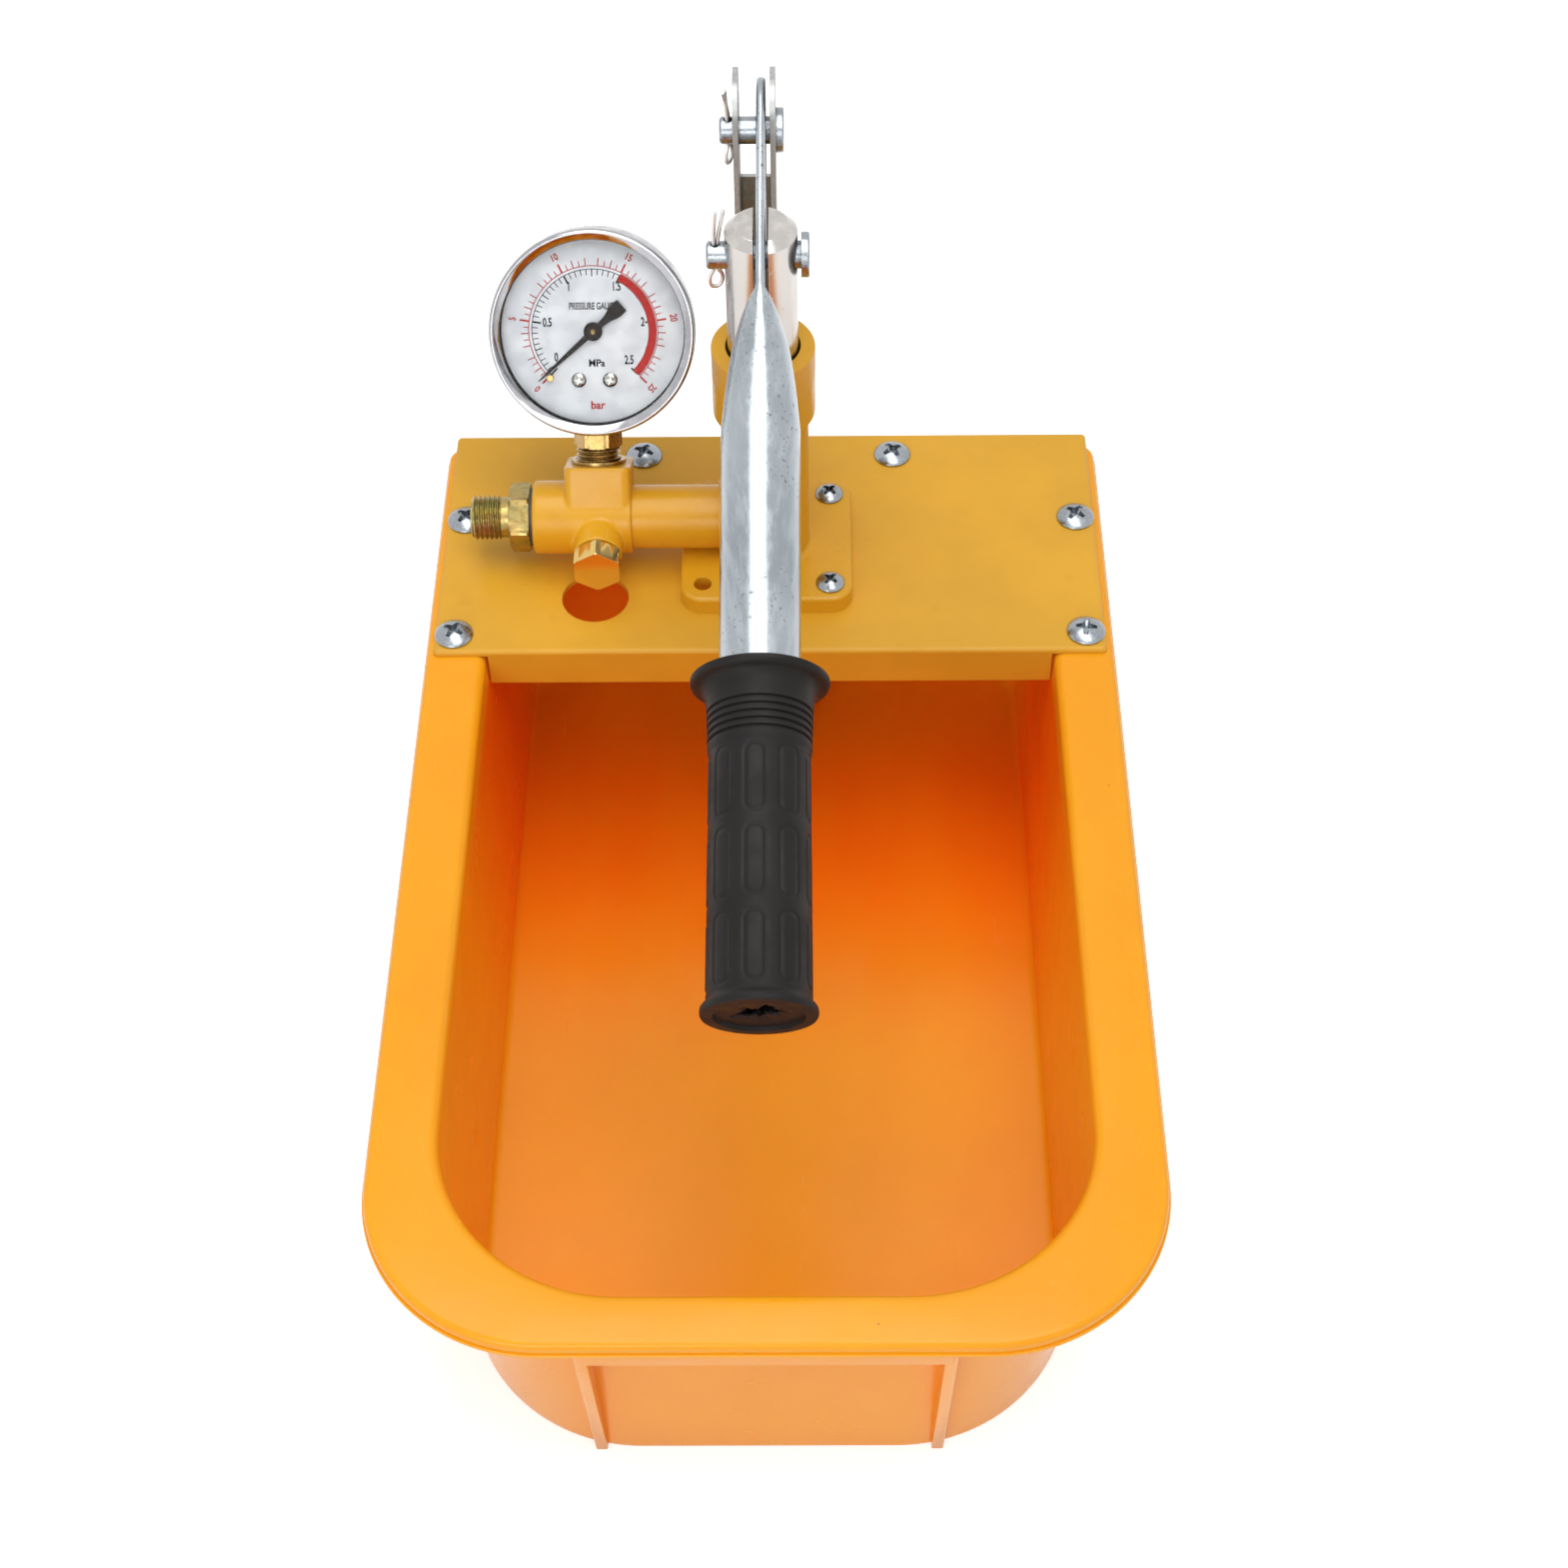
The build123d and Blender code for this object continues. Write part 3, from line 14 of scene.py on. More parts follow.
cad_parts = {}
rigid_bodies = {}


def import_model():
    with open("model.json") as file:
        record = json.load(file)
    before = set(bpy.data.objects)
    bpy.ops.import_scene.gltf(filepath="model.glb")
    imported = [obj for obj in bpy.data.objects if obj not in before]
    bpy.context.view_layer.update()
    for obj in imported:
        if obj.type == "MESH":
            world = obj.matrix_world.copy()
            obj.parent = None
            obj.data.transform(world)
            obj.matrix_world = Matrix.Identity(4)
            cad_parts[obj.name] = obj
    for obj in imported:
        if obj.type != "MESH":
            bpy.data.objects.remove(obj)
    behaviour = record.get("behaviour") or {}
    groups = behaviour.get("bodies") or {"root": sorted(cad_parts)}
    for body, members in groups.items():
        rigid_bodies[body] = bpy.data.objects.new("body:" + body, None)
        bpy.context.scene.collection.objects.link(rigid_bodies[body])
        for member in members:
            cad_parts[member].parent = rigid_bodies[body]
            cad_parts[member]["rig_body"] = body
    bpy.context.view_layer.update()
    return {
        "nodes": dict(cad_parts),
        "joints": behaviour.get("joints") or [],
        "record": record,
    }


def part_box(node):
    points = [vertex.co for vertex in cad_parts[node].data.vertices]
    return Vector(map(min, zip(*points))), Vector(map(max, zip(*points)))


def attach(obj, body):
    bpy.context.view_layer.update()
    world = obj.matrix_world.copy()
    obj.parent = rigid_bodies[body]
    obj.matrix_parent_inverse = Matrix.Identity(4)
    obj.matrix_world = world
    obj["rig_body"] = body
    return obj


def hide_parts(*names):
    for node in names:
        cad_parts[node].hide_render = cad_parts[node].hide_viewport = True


bl_info = {
    "name": "Pressure Test Pump",
    "version": (1, 0, 0),
    "blender": (4, 5, 0),
    "location": "3D View > Sidebar > Test Pump",
    "description": "Builds the looks of a hand-operated pressure test pump around its packed solids",
    "category": "Add Mesh",
}

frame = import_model()

MM = 0.001
JOINTS = {joint["name"]: joint for joint in frame["joints"]}
SLOTS = {part["node"]: part["material_slot"] for part in frame["record"]["subparts"]}
CREASE = 35.0
TUB_DRAFT = tan(radians(3.1))


# Places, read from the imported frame


def centre(node):
    """The middle of a node's box, in metres."""
    low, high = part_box(node)
    return (low + high) / 2


def standing(origin, along, up=(0, 0, 1)):
    """A place in millimetres whose Z runs along the given way and whose Y leans towards up."""
    z = Vector(along).normalized()
    x = Vector(up).cross(z).normalized()
    turn = Matrix((x, z.cross(x), z)).transposed().to_4x4()
    return Matrix.Translation(origin) @ turn @ Matrix.Scale(MM, 4)


def level(x, y, z):
    """An unturned place in millimetres with its origin at a point in metres."""
    return Matrix.Translation((x, y, z)) @ Matrix.Scale(MM, 4)


def solids_of(node):
    """The (low, high) corners of each separate solid of a node, in metres."""
    copy = bmesh.new()
    copy.from_mesh(frame["nodes"][node].data)
    bmesh.ops.remove_doubles(copy, verts=copy.verts, dist=MM * 0.001)
    left = set(copy.verts)
    boxes = []
    while left:
        found = [left.pop()]
        for vert in found:
            for edge in vert.link_edges:
                other = edge.other_vert(vert)
                if other in left:
                    left.remove(other)
                    found.append(other)
        places = [vert.co for vert in found]
        boxes.append(tuple(Vector(pick(p[k] for p in places) for k in range(3)) for pick in (min, max)))
    copy.free()
    return sorted(boxes, key=lambda box: tuple(box[0]))


frame_place = level(0, 0, 0)
top_pin_centre = Vector((centre("lever").x, *JOINTS["lever_swing"]["pos_m"][1:]))
plunger_pin_centre = Vector((top_pin_centre.x, centre("plunger_pin").y, centre("plunger_pin").z))
lever_along = plunger_pin_centre - top_pin_centre
lever_arm = lever_along.length / MM
lever_place = standing(top_pin_centre, lever_along)
gauge_face = -Vector(JOINTS["pointer_turn"]["axis"])
gauge_place = standing(JOINTS["pointer_turn"]["pos_m"], gauge_face)
gauge_up = gauge_place.to_3x3().col[1].normalized()


# Sizes and colours that a user would change


def size(name, about, value):
    """A length in metres for the panel."""
    kind = {"subtype": "DISTANCE", "unit": "LENGTH", "precision": 5}
    return FloatProperty(name=name, description=about, default=value, min=0, **kind)


def colour(name, about, value):
    """A colour for the panel."""
    kind = {"subtype": "COLOR", "size": 3, "min": 0, "max": 1}
    return FloatVectorProperty(name=name, description=about, default=value, **kind)


def number(name, about, value, least):
    """A whole number for the panel."""
    return IntProperty(name=name, description=about, default=value, min=least)


class TubSizes(bpy.types.PropertyGroup):
    """Sizes of the moulded tub."""

    rim_edge: size("Rim edge", "Rounding of the rim's outer edge", 0.002)
    mouth_edge: size("Mouth edge", "Rounding between the rim and the basin", 0.003)
    floor_fillet: size("Floor fillet", "Rounding between the basin's walls and floor", 0.0025)
    rib_edge: size("Rib edge", "Rounding of the front ribs' edges", 0.0005)


class GripSizes(bpy.types.PropertyGroup):
    """Sizes of the rubber grip's moulded pattern."""

    pad_columns: number("Pad columns", "Pads around the grip", 9, 3)
    pad_width: size("Pad width", "Width of a pad around the grip", 0.0068)
    groove_width: size("Groove width", "Width of the groove round a pad", 0.0011)
    groove_depth: size("Groove depth", "Depth of the groove round a pad", 0.0003)


class CastingSizes(bpy.types.PropertyGroup):
    """How the valve block's edges are melted."""

    grain: size("Grain", "Size of the cells that the casting is rebuilt from", 0.00035)
    smoothing: number("Smoothing", "Rounds of smoothing over the edges", 14, 0)


class GaugeSizes(bpy.types.PropertyGroup):
    """Sizes of the gauge's printed scale."""

    bar_arc: size("Bar arc", "Radius of the outer red arc", 0.0198)
    pressure_arc: size("Pressure arc", "Radius of the inner black arc", 0.0188)
    band_inner: size("Band inner", "Inner radius of the red warning band", 0.0170)
    band_outer: size("Band outer", "Outer radius of the red warning band", 0.0194)


class Colours(bpy.types.PropertyGroup):
    """Colours of the finishes, in linear light."""

    plastic: colour("Plastic", "The moulded tub", (0.95, 0.385, 0.010))
    paint: colour("Paint", "The deck and the castings", (0.73, 0.375, 0.022))
    zinc: colour("Zinc", "The bright plated steel", (0.37, 0.40, 0.43))
    yellow_zinc: colour("Yellow zinc", "The passivated fittings", (0.46, 0.32, 0.11))
    brass: colour("Brass", "The gauge's stem and the small brass parts", (0.46, 0.30, 0.11))
    rubber: colour("Rubber", "The grip and the seals", (0.0105, 0.0090, 0.0085))
    dial: colour("Dial", "The printed dial's ground", (0.87, 0.86, 0.935))
    print_red: colour("Red print", "The red arc, band and figures", (0.55, 0.012, 0.010))


class PumpSettings(bpy.types.PropertyGroup):
    """Everything that the panel shows."""

    tub: PointerProperty(type=TubSizes)
    grip: PointerProperty(type=GripSizes)
    casting: PointerProperty(type=CastingSizes)
    gauge: PointerProperty(type=GaugeSizes)
    colours: PointerProperty(type=Colours)


# Mesh helpers


def placed(name, data):
    """A new object in the scene for a mesh, a curve, a word or a lamp."""
    piece = bpy.data.objects.new(name, data)
    bpy.context.scene.collection.objects.link(piece)
    return piece


def piece_from(name, verts, faces, place, crease=CREASE):
    """An object whose mesh is put in place, smooth but for edges sharper than the crease in degrees."""
    mesh = bpy.data.meshes.new(name)
    mesh.from_pydata(verts, [], faces)
    mesh.transform(place)
    return piece_of(name, mesh, crease)


def piece_of(name, mesh, crease=CREASE):
    """An object for a mesh that is in place, merged, turned outwards and shaded."""
    work = bmesh.new()
    work.from_mesh(mesh)
    bmesh.ops.remove_doubles(work, verts=work.verts, dist=MM * 0.002)
    bmesh.ops.dissolve_degenerate(work, edges=work.edges, dist=MM * 0.001)
    bmesh.ops.recalc_face_normals(work, faces=work.faces)
    work.to_mesh(mesh)
    work.free()
    shade(mesh, crease)
    return placed(name, mesh)


def shade(mesh, crease):
    """Smooth shading that breaks at edges sharper than the crease in degrees."""
    mesh.shade_smooth()
    mesh.set_sharp_from_angle(angle=radians(crease))


def skin(rings):
    """The points and faces of a closed skin over rings of equal length, with a fan at each end."""
    count = len(rings[0])
    points = [Vector(point) for ring in rings for point in ring]
    faces = []
    for row in range(len(rings) - 1):
        for k in range(count):
            first, second = row * count + k, row * count + (k + 1) % count
            faces.append((first, second, second + count, first + count))
    for row in (0, len(rings) - 1):
        ends = range(row * count, (row + 1) * count)
        middle = sum((points[k] for k in ends), Vector()) / count
        points.append(middle)
        faces += [(a, b, len(points) - 1) for a, b in zip(ends, [*ends[1:], ends[0]])]
    return points, faces


def tube(rings):
    """The points and faces of rings whose last joins their first, as round a bore."""
    count = len(rings[0])
    points = [Vector(point) for ring in rings for point in ring]
    total = len(points)
    faces = []
    for row in range(len(rings)):
        for k in range(count):
            first, second = row * count + k, row * count + (k + 1) % count
            faces.append((first, second, (second + count) % total, (first + count) % total))
    return points, faces


def turned(stations, count, trim=None):
    """Rings round Z for (height, radius) stations; trim(angle, height, radius) may change a radius."""
    rings = []
    for height, radius in stations:
        ring = []
        for k in range(count):
            angle = tau * k / count
            reach = trim(angle, height, radius) if trim else radius
            ring.append((reach * cos(angle), reach * sin(angle), height))
        rings.append(ring)
    return rings


def arc(centre_point, radius, start, end, steps):
    """Points of an arc in a plane, from one angle to another in degrees."""
    turns = [radians(start + (end - start) * k / steps) for k in range(steps + 1)]
    return [(centre_point[0] + radius * cos(t), centre_point[1] + radius * sin(t)) for t in turns]


def spread(first, last, step):
    """Evenly spaced numbers from first to last, no further apart than step."""
    count = max(1, ceil(abs(last - first) / step))
    return [first + (last - first) * k / count for k in range(count + 1)]


def ease(value):
    """A smooth step from 0 to 1."""
    held = min(1.0, max(0.0, value))
    return held * held * (3 - 2 * held)


def hexagon(flats, corner_angle):
    """A trim that cuts a hexagon of that size across its flats, with a corner at the angle in degrees."""

    def trim(angle, _, radius):
        off = (degrees(angle) - corner_angle) % 60 - 30
        return min(radius, flats / 2 / cos(radians(off)))

    return trim


def helix(crest, depth, pitch, first, last):
    """A trim that cuts a thread between two heights."""

    def trim(angle, height, radius):
        if not first <= height <= last:
            return radius
        phase = (height / pitch - angle / tau) % 1
        groove = min(1.0, max(0.0, abs(2 * phase - 1) * 1.3 - 0.15))
        return min(radius, crest - depth * groove)

    return trim


def cut(piece, tool, kind="DIFFERENCE"):
    """Cuts or joins a tool into a piece for good, and removes the tool."""
    modifier = piece.modifiers.new("cut", "BOOLEAN")
    modifier.operation = kind
    modifier.solver = "EXACT"
    modifier.object = tool
    bpy.context.view_layer.update()
    result = flat_mesh(piece)
    piece.modifiers.clear()
    piece.data = result
    bpy.data.objects.remove(tool)


def flat_mesh(piece):
    """A plain mesh of the object as its modifiers leave it."""
    graph = bpy.context.evaluated_depsgraph_get()
    return bpy.data.meshes.new_from_object(piece.evaluated_get(graph), depsgraph=graph)


def baked(carrier):
    """The plain mesh of an object as its modifiers leave it, in exchange for the object."""
    bpy.context.view_layer.update()
    mesh = flat_mesh(carrier)
    carrier.modifiers.clear()
    bpy.data.objects.remove(carrier)
    return mesh


def box_piece(name, low, high):
    """A plain block, before its edges are rounded."""
    corners = [(x, y, z) for x in (low[0], high[0]) for y in (low[1], high[1]) for z in (low[2], high[2])]
    faces = [(0, 1, 3, 2), (4, 6, 7, 5), (0, 4, 5, 1), (2, 3, 7, 6), (0, 2, 6, 4), (1, 5, 7, 3)]
    return piece_from(name, corners, faces, frame_place)


def rounded(piece, radius, segments=2):
    """Bevels every edge of a piece for good."""
    work = bmesh.new()
    work.from_mesh(piece.data)
    bmesh.ops.bevel(work, geom=work.edges[:], offset=radius, segments=segments, profile=0.5, affect="EDGES")
    work.to_mesh(piece.data)
    work.free()
    shade(piece.data, CREASE)


def stand_for(piece, finish, *nodes):
    """Gives a piece its finish, its body and its slot, and hides the nodes that it stands for."""
    wear(piece, finish)
    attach(piece, frame["nodes"][nodes[0]]["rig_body"])
    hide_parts(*nodes)


def wear(piece, finish):
    """Gives a piece one finish all over."""
    piece.data.materials.clear()
    piece.data.materials.append(bpy.data.materials[finish])


# Node helpers


def add(tree, kind, inputs=None, **settings):
    """One node; its inputs are numbers, colours or other nodes' sockets, by name or number."""
    made = tree.nodes.new(kind)
    for key, value in settings.items():
        setattr(made, key, value)
    for key, value in (inputs or {}).items():
        if isinstance(value, bpy.types.NodeSocket):
            tree.links.new(value, made.inputs[key])
        else:
            made.inputs[key].default_value = value
    return made


def emptied(name):
    """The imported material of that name, or a new one, without its nodes."""
    material = bpy.data.materials.get(name) or bpy.data.materials.new(name)
    material.use_nodes = True
    material.node_tree.nodes.clear()
    return material


class Finish:
    """A material under construction: a Principled shader and the nodes that feed it."""

    def __init__(self, name, **sockets):
        self.tree = emptied(name).node_tree
        self.shader = self.add("ShaderNodeBsdfPrincipled")
        self.add("ShaderNodeOutputMaterial", {"Surface": self.shader.outputs[0]})
        for key, value in sockets.items():
            self.shader.inputs[key.replace("_", " ").title().replace("Ior", "IOR")].default_value = value
        self.place = self.add("ShaderNodeTexCoord").outputs["Object"]
        self.normal = None

    def add(self, kind, inputs=None, **settings):
        return add(self.tree, kind, inputs, **settings)

    def turned_place(self, scale=(1, 1, 1), turn=(0, 0, 0), shift=(0, 0, 0)):
        """Object coordinates moved, turned and scaled, for a pattern with a grain."""
        inputs = {"Vector": self.place, "Scale": scale, "Rotation": turn, "Location": shift}
        return self.add("ShaderNodeMapping", inputs).outputs[0]

    def noise(self, grains_per_metre, detail=4.0, place=None):
        inputs = {"Scale": grains_per_metre, "Detail": detail, "Roughness": 0.55}
        return self.add("ShaderNodeTexNoise", {"Vector": place or self.place, **inputs}).outputs["Fac"]

    def ramp(self, value, low, high, start=0.0, end=1.0):
        inputs = {0: value, 1: low, 2: high, 3: start, 4: end}
        return self.add("ShaderNodeMapRange", inputs, interpolation_type="SMOOTHSTEP").outputs[0]

    def math(self, operation, first, second=0.0):
        return self.add("ShaderNodeMath", {0: first, 1: second}, operation=operation).outputs[0]

    def times(self, first, second):
        return self.math("MULTIPLY", first, second)

    def mix(self, factor, first, second):
        inputs = {0: factor, 6: rgba(first), 7: rgba(second)}
        return self.add("ShaderNodeMix", inputs, data_type="RGBA").outputs[2]

    def specks(self, cells_per_metre, size_share, kept_share):
        """A mask of small dots, one in a share of the cells."""
        cells = self.add("ShaderNodeTexVoronoi", {"Vector": self.place, "Scale": cells_per_metre}).outputs
        near = self.ramp(cells["Distance"], size_share, size_share * 1.6, 1.0, 0.0)
        chance = self.add("ShaderNodeSeparateColor", {0: cells["Color"]}).outputs[0]
        kept = self.math("LESS_THAN", chance, kept_share)
        return self.times(near, kept)

    def bump(self, height, depth_mm, strength=1.0):
        """Adds one layer of relief."""
        inputs = {"Strength": strength, "Distance": depth_mm * MM, "Height": height}
        if self.normal:
            inputs["Normal"] = self.normal
        self.normal = self.add("ShaderNodeBump", inputs).outputs[0]

    def rounding(self, radius_mm):
        """The normal as if the hard edges were rounded."""
        return self.add("ShaderNodeBevel", {"Radius": radius_mm * MM}, samples=4).outputs[0]

    def soften(self, radius_mm):
        """Rounds the shading at hard edges, before any relief."""
        self.normal = self.rounding(radius_mm)

    def edges(self, radius_mm):
        """A mask of the outer edges, where a finish wears first."""
        inputs = {0: self.rounding(radius_mm), 1: self.add("ShaderNodeNewGeometry").outputs["Normal"]}
        same = self.add("ShaderNodeVectorMath", inputs, operation="DOT_PRODUCT").outputs["Value"]
        return self.ramp(same, 0.995, 0.90)

    def hollow_shade(self, reach_mm):
        """A mask of the places that lie in a hollow, where painted shade darkens the colour."""
        openness = self.add("ShaderNodeAmbientOcclusion", {"Distance": reach_mm * MM}, samples=6)
        return self.ramp(openness.outputs["AO"], 0.35, 0.85, 0.8, 0.0)

    def finish(self, base, roughness):
        """Links what was made to the shader."""
        for name, value in (("Base Color", base), ("Roughness", roughness), ("Normal", self.normal)):
            self.tree.links.new(value, self.shader.inputs[name])


def rgba(value):
    """A colour with its alpha, or a socket as it is."""
    if isinstance(value, bpy.types.NodeSocket):
        return value
    return (*value, 1.0) if len(value) == 3 else tuple(value)


def shaded(value, share):
    """A colour made lighter or darker by a share."""
    return tuple(min(1.0, channel * share) for channel in value)


# Finishes


def painted_basin_shade(made):
    """A mask of the basin's inner faces, growing from its middle to its back, where painted shade makes the
    red deeper, as the shade and red light under the deck would.
    """
    low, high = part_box("tank")
    x, y, z = made.add("ShaderNodeSeparateXYZ", {0: made.place}).outputs
    lean = made.times(z, TUB_DRAFT)
    wall_middle, blur, rim_depth = 0.0224, 0.0008, 0.006
    side = made.math("SUBTRACT", made.math("ABSOLUTE", x), lean)
    back = made.math("SUBTRACT", y, lean)
    inside = made.ramp(side, high.x - wall_middle - blur, high.x - wall_middle + blur, 1.0, 0.0)
    before = made.ramp(back, high.y - wall_middle - blur, high.y - wall_middle + blur, 1.0, 0.0)
    below = made.ramp(z, high.z - 2 * rim_depth, high.z - rim_depth, 1.0, 0.0)
    toward = made.ramp(y, -0.03, 0.07, 0.15, 1.0)
    under_deck = made.ramp(y, 0.09, 0.14, 1.0, 0.35)
    mask = made.times(toward, under_deck)
    for share in (inside, before, below):
        mask = made.times(mask, share)
    return mask


def make_plastic(base):
    """Moulded plastic: glossy, faintly wavy, with a few specks, rubbed places and a painted shade of deeper
    red in the basin towards the deck.
    """
    under_skin = {"subsurface_weight": 0.35, "subsurface_scale": 0.006}
    under_skin["subsurface_radius"] = (1.0, 0.30, 0.02)
    made = Finish("tub_plastic", roughness=0.32, specular_ior_level=0.27, **under_skin)
    hue = made.mix(made.ramp(made.noise(14, 3), 0.3, 0.7), shaded(base, 0.95), shaded(base, 1.04))
    flow = made.noise(30, 2, made.turned_place((1, 0.18, 1)))
    hue = made.mix(made.ramp(flow, 0.45, 0.75, 0.0, 0.25), hue, (base[0], base[1] * 1.10, base[2] * 1.6))
    dots = made.specks(70, 0.016, 0.10)
    hue = made.mix(made.times(dots, 0.75), hue, (0.16, 0.05, 0.01))
    # Painted shade: the basin's inner faces turn a deeper red towards the deck, standing in for the shade and
    # red light under it.
    darker, lighter = (1.0, base[1] * 0.42, base[2] * 0.3), (1.0, base[1] * 0.50, base[2] * 0.4)
    hue = made.mix(painted_basin_shade(made), hue, made.mix(made.ramp(flow, 0.3, 0.7), darker, lighter))
    gloss = made.ramp(made.noise(45, 4), 0.3, 0.7, 0.18, 0.27)
    scuff = made.noise(160, 5, made.turned_place((1, 0.07, 1), (0, 0, 0.6)))
    gloss = made.math("ADD", gloss, made.ramp(scuff, 0.60, 0.72, 0.0, 0.05))
    made.bump(made.noise(26, 2), 0.20, 0.8)
    made.bump(made.noise(900, 3), 0.010, 0.6)
    made.finish(hue, gloss)


def make_paint(name, base, grain_per_metre, grain_mm, gloss):
    """Enamel over steel: orange peel, pale worn edges and a few rubbed spots."""
    made = Finish(name, roughness=gloss, specular_ior_level=0.4)
    hue = made.mix(made.ramp(made.noise(22, 4), 0.3, 0.7), shaded(base, 0.93), shaded(base, 1.05))
    grime = made.ramp(made.noise(70, 6), 0.62, 0.80, 0.0, 0.30)
    hue = made.mix(grime, hue, (base[0] * 0.72, base[1] * 0.66, base[2] * 0.60))
    worn = made.times(made.edges(0.7), made.ramp(made.noise(240, 4), 0.35, 0.65, 0.25, 0.75))
    hue = made.mix(worn, hue, (base[0] * 1.12, base[1] * 1.22, base[2] * 2.2))
    dots = made.specks(110, 0.03, 0.08)
    hue = made.mix(made.times(dots, 0.5), hue, (0.20, 0.11, 0.02))
    roughness = made.ramp(made.noise(60, 5), 0.3, 0.7, gloss - 0.06, gloss + 0.09)
    made.soften(0.45)
    made.bump(made.noise(grain_per_metre, 3), grain_mm, 0.8)
    made.bump(made.noise(grain_per_metre * 4, 2), grain_mm * 0.2, 0.5)
    made.finish(hue, roughness)


def make_metal(
    name, base, dark, roughness, grain=(1, 1, 1), turn=(0, 0, 0), mottle=120, pits=0.0, relief=0.02, rim=1.0
):
    """Plated or machined metal: mottled plate, drawn grain, painted shade in hollows, dull spots and fine
    scratches.
    """
    made = Finish(name, metallic=1.0, roughness=roughness, specular_tint=(rim, rim, rim, 1.0))
    hue = made.mix(made.ramp(made.noise(mottle * 0.3, 4), 0.3, 0.7), dark, base)
    spangle = made.noise(mottle * 4, 5, made.turned_place(grain, turn))
    hue = made.mix(made.ramp(spangle, 0.42, 0.68, 0.0, 0.45), hue, shaded(base, 1.25))
    # Painted shade: ambient occlusion darkens the colour in hollows such as screw recesses.
    hue = made.mix(made.hollow_shade(1.5), hue, shaded(dark, 0.22))
    if pits:
        spots = made.ramp(made.noise(mottle * 9, 5), 0.60, 0.68)
        patch = made.ramp(made.noise(mottle * 0.5, 3), 0.44, 0.58)
        pitted = made.times(made.times(spots, patch), pits)
        hue = made.mix(pitted, hue, shaded(dark, 0.35))
    scratch = made.noise(mottle * 6, 2, made.turned_place((1, 0.03, 1), (0.5, 0.3, 0.9)))
    rub = made.ramp(scratch, 0.64, 0.72)
    gloss = made.ramp(spangle, 0.3, 0.7, roughness - 0.06, roughness + 0.10)
    gloss = made.math("ADD", gloss, made.times(rub, 0.12))
    made.soften(0.25)
    made.bump(spangle, relief, 0.6)
    made.bump(rub, 0.01, 0.3)
    made.finish(hue, gloss)


def make_rubber(name, base, gloss=0.52):
    """Moulded rubber: satin, with light dust in its pores and small pale specks."""
    made = Finish(name, roughness=gloss, specular_ior_level=0.20)
    cloud = made.ramp(made.noise(50, 5), 0.35, 0.7)
    hue = made.mix(cloud, base, shaded(base, 1.35))
    dots = made.specks(130, 0.035, 0.05)
    hue = made.mix(made.times(dots, 0.8), hue, (0.22, 0.20, 0.19))
    roughness = made.ramp(made.noise(120, 4), 0.3, 0.7, gloss - 0.07, gloss + 0.09)
    made.bump(made.noise(1500, 3), 0.03, 0.6)
    made.bump(dots, 0.04, 0.5)
    made.finish(hue, roughness)


def make_plain(name, base, gloss, shine=0.5, relief=0.01):
    """Small parts: one colour with a light mottle and a fine grain."""
    made = Finish(name, roughness=gloss, specular_ior_level=shine)
    hue = made.mix(made.ramp(made.noise(160, 5), 0.3, 0.7), shaded(base, 0.88), shaded(base, 1.10))
    roughness = made.ramp(made.noise(240, 4), 0.3, 0.7, max(0.03, gloss - 0.05), gloss + 0.07)
    made.bump(made.noise(1200, 3), relief, 0.5)
    made.finish(hue, roughness)


def make_passivated(name, base, mottle):
    """Yellow passivated zinc: gold that drifts to olive and to pink, with more or less mottle."""
    made = Finish(name, metallic=1.0, roughness=0.27)
    hue = made.mix(made.ramp(made.noise(130, 3), 0.35, 0.65, 0.0, mottle), base, (0.34, 0.31, 0.12))
    pink = made.noise(90, 3, made.turned_place(shift=(3, 1, 2)))
    hue = made.mix(made.ramp(pink, 0.52, 0.70, 0.0, 0.75 * mottle), hue, (0.62, 0.33, 0.24))
    dull = made.ramp(made.noise(700, 5), 0.45, 0.66)
    hue = made.mix(made.times(dull, 0.4 * mottle), hue, (0.20, 0.15, 0.07))
    gloss = made.ramp(made.noise(400, 5), 0.3, 0.7, 0.12 + 0.08 * mottle, 0.16 + 0.26 * mottle)
    made.soften(0.2)
    made.bump(made.noise(900, 4), 0.02 * mottle, 0.6)
    made.finish(hue, gloss)


def make_glass():
    """A flat clear pane that lets the lamps through and mirrors a little."""
    tree = emptied("clear_glass").node_tree
    pane = add(tree, "ShaderNodeBsdfTransparent", {"Color": (0.97, 0.985, 0.98, 1)})
    smear = add(tree, "ShaderNodeTexCoord").outputs["Object"]
    film = add(tree, "ShaderNodeTexNoise", {"Vector": smear, "Scale": 90.0, "Detail": 4.0}).outputs["Fac"]
    gloss = add(tree, "ShaderNodeMapRange", {0: film, 1: 0.4, 2: 0.8, 3: 0.01, 4: 0.06}).outputs[0]
    mirror = add(tree, "ShaderNodeBsdfGlossy", {"Color": (1, 1, 1, 1), "Roughness": gloss})
    share = add(tree, "ShaderNodeFresnel", {"IOR": 1.14}).outputs[0]
    both = add(tree, "ShaderNodeMixShader", {0: share, 1: pane.outputs[0], 2: mirror.outputs[0]})
    add(tree, "ShaderNodeOutputMaterial", {"Surface": both.outputs[0]})


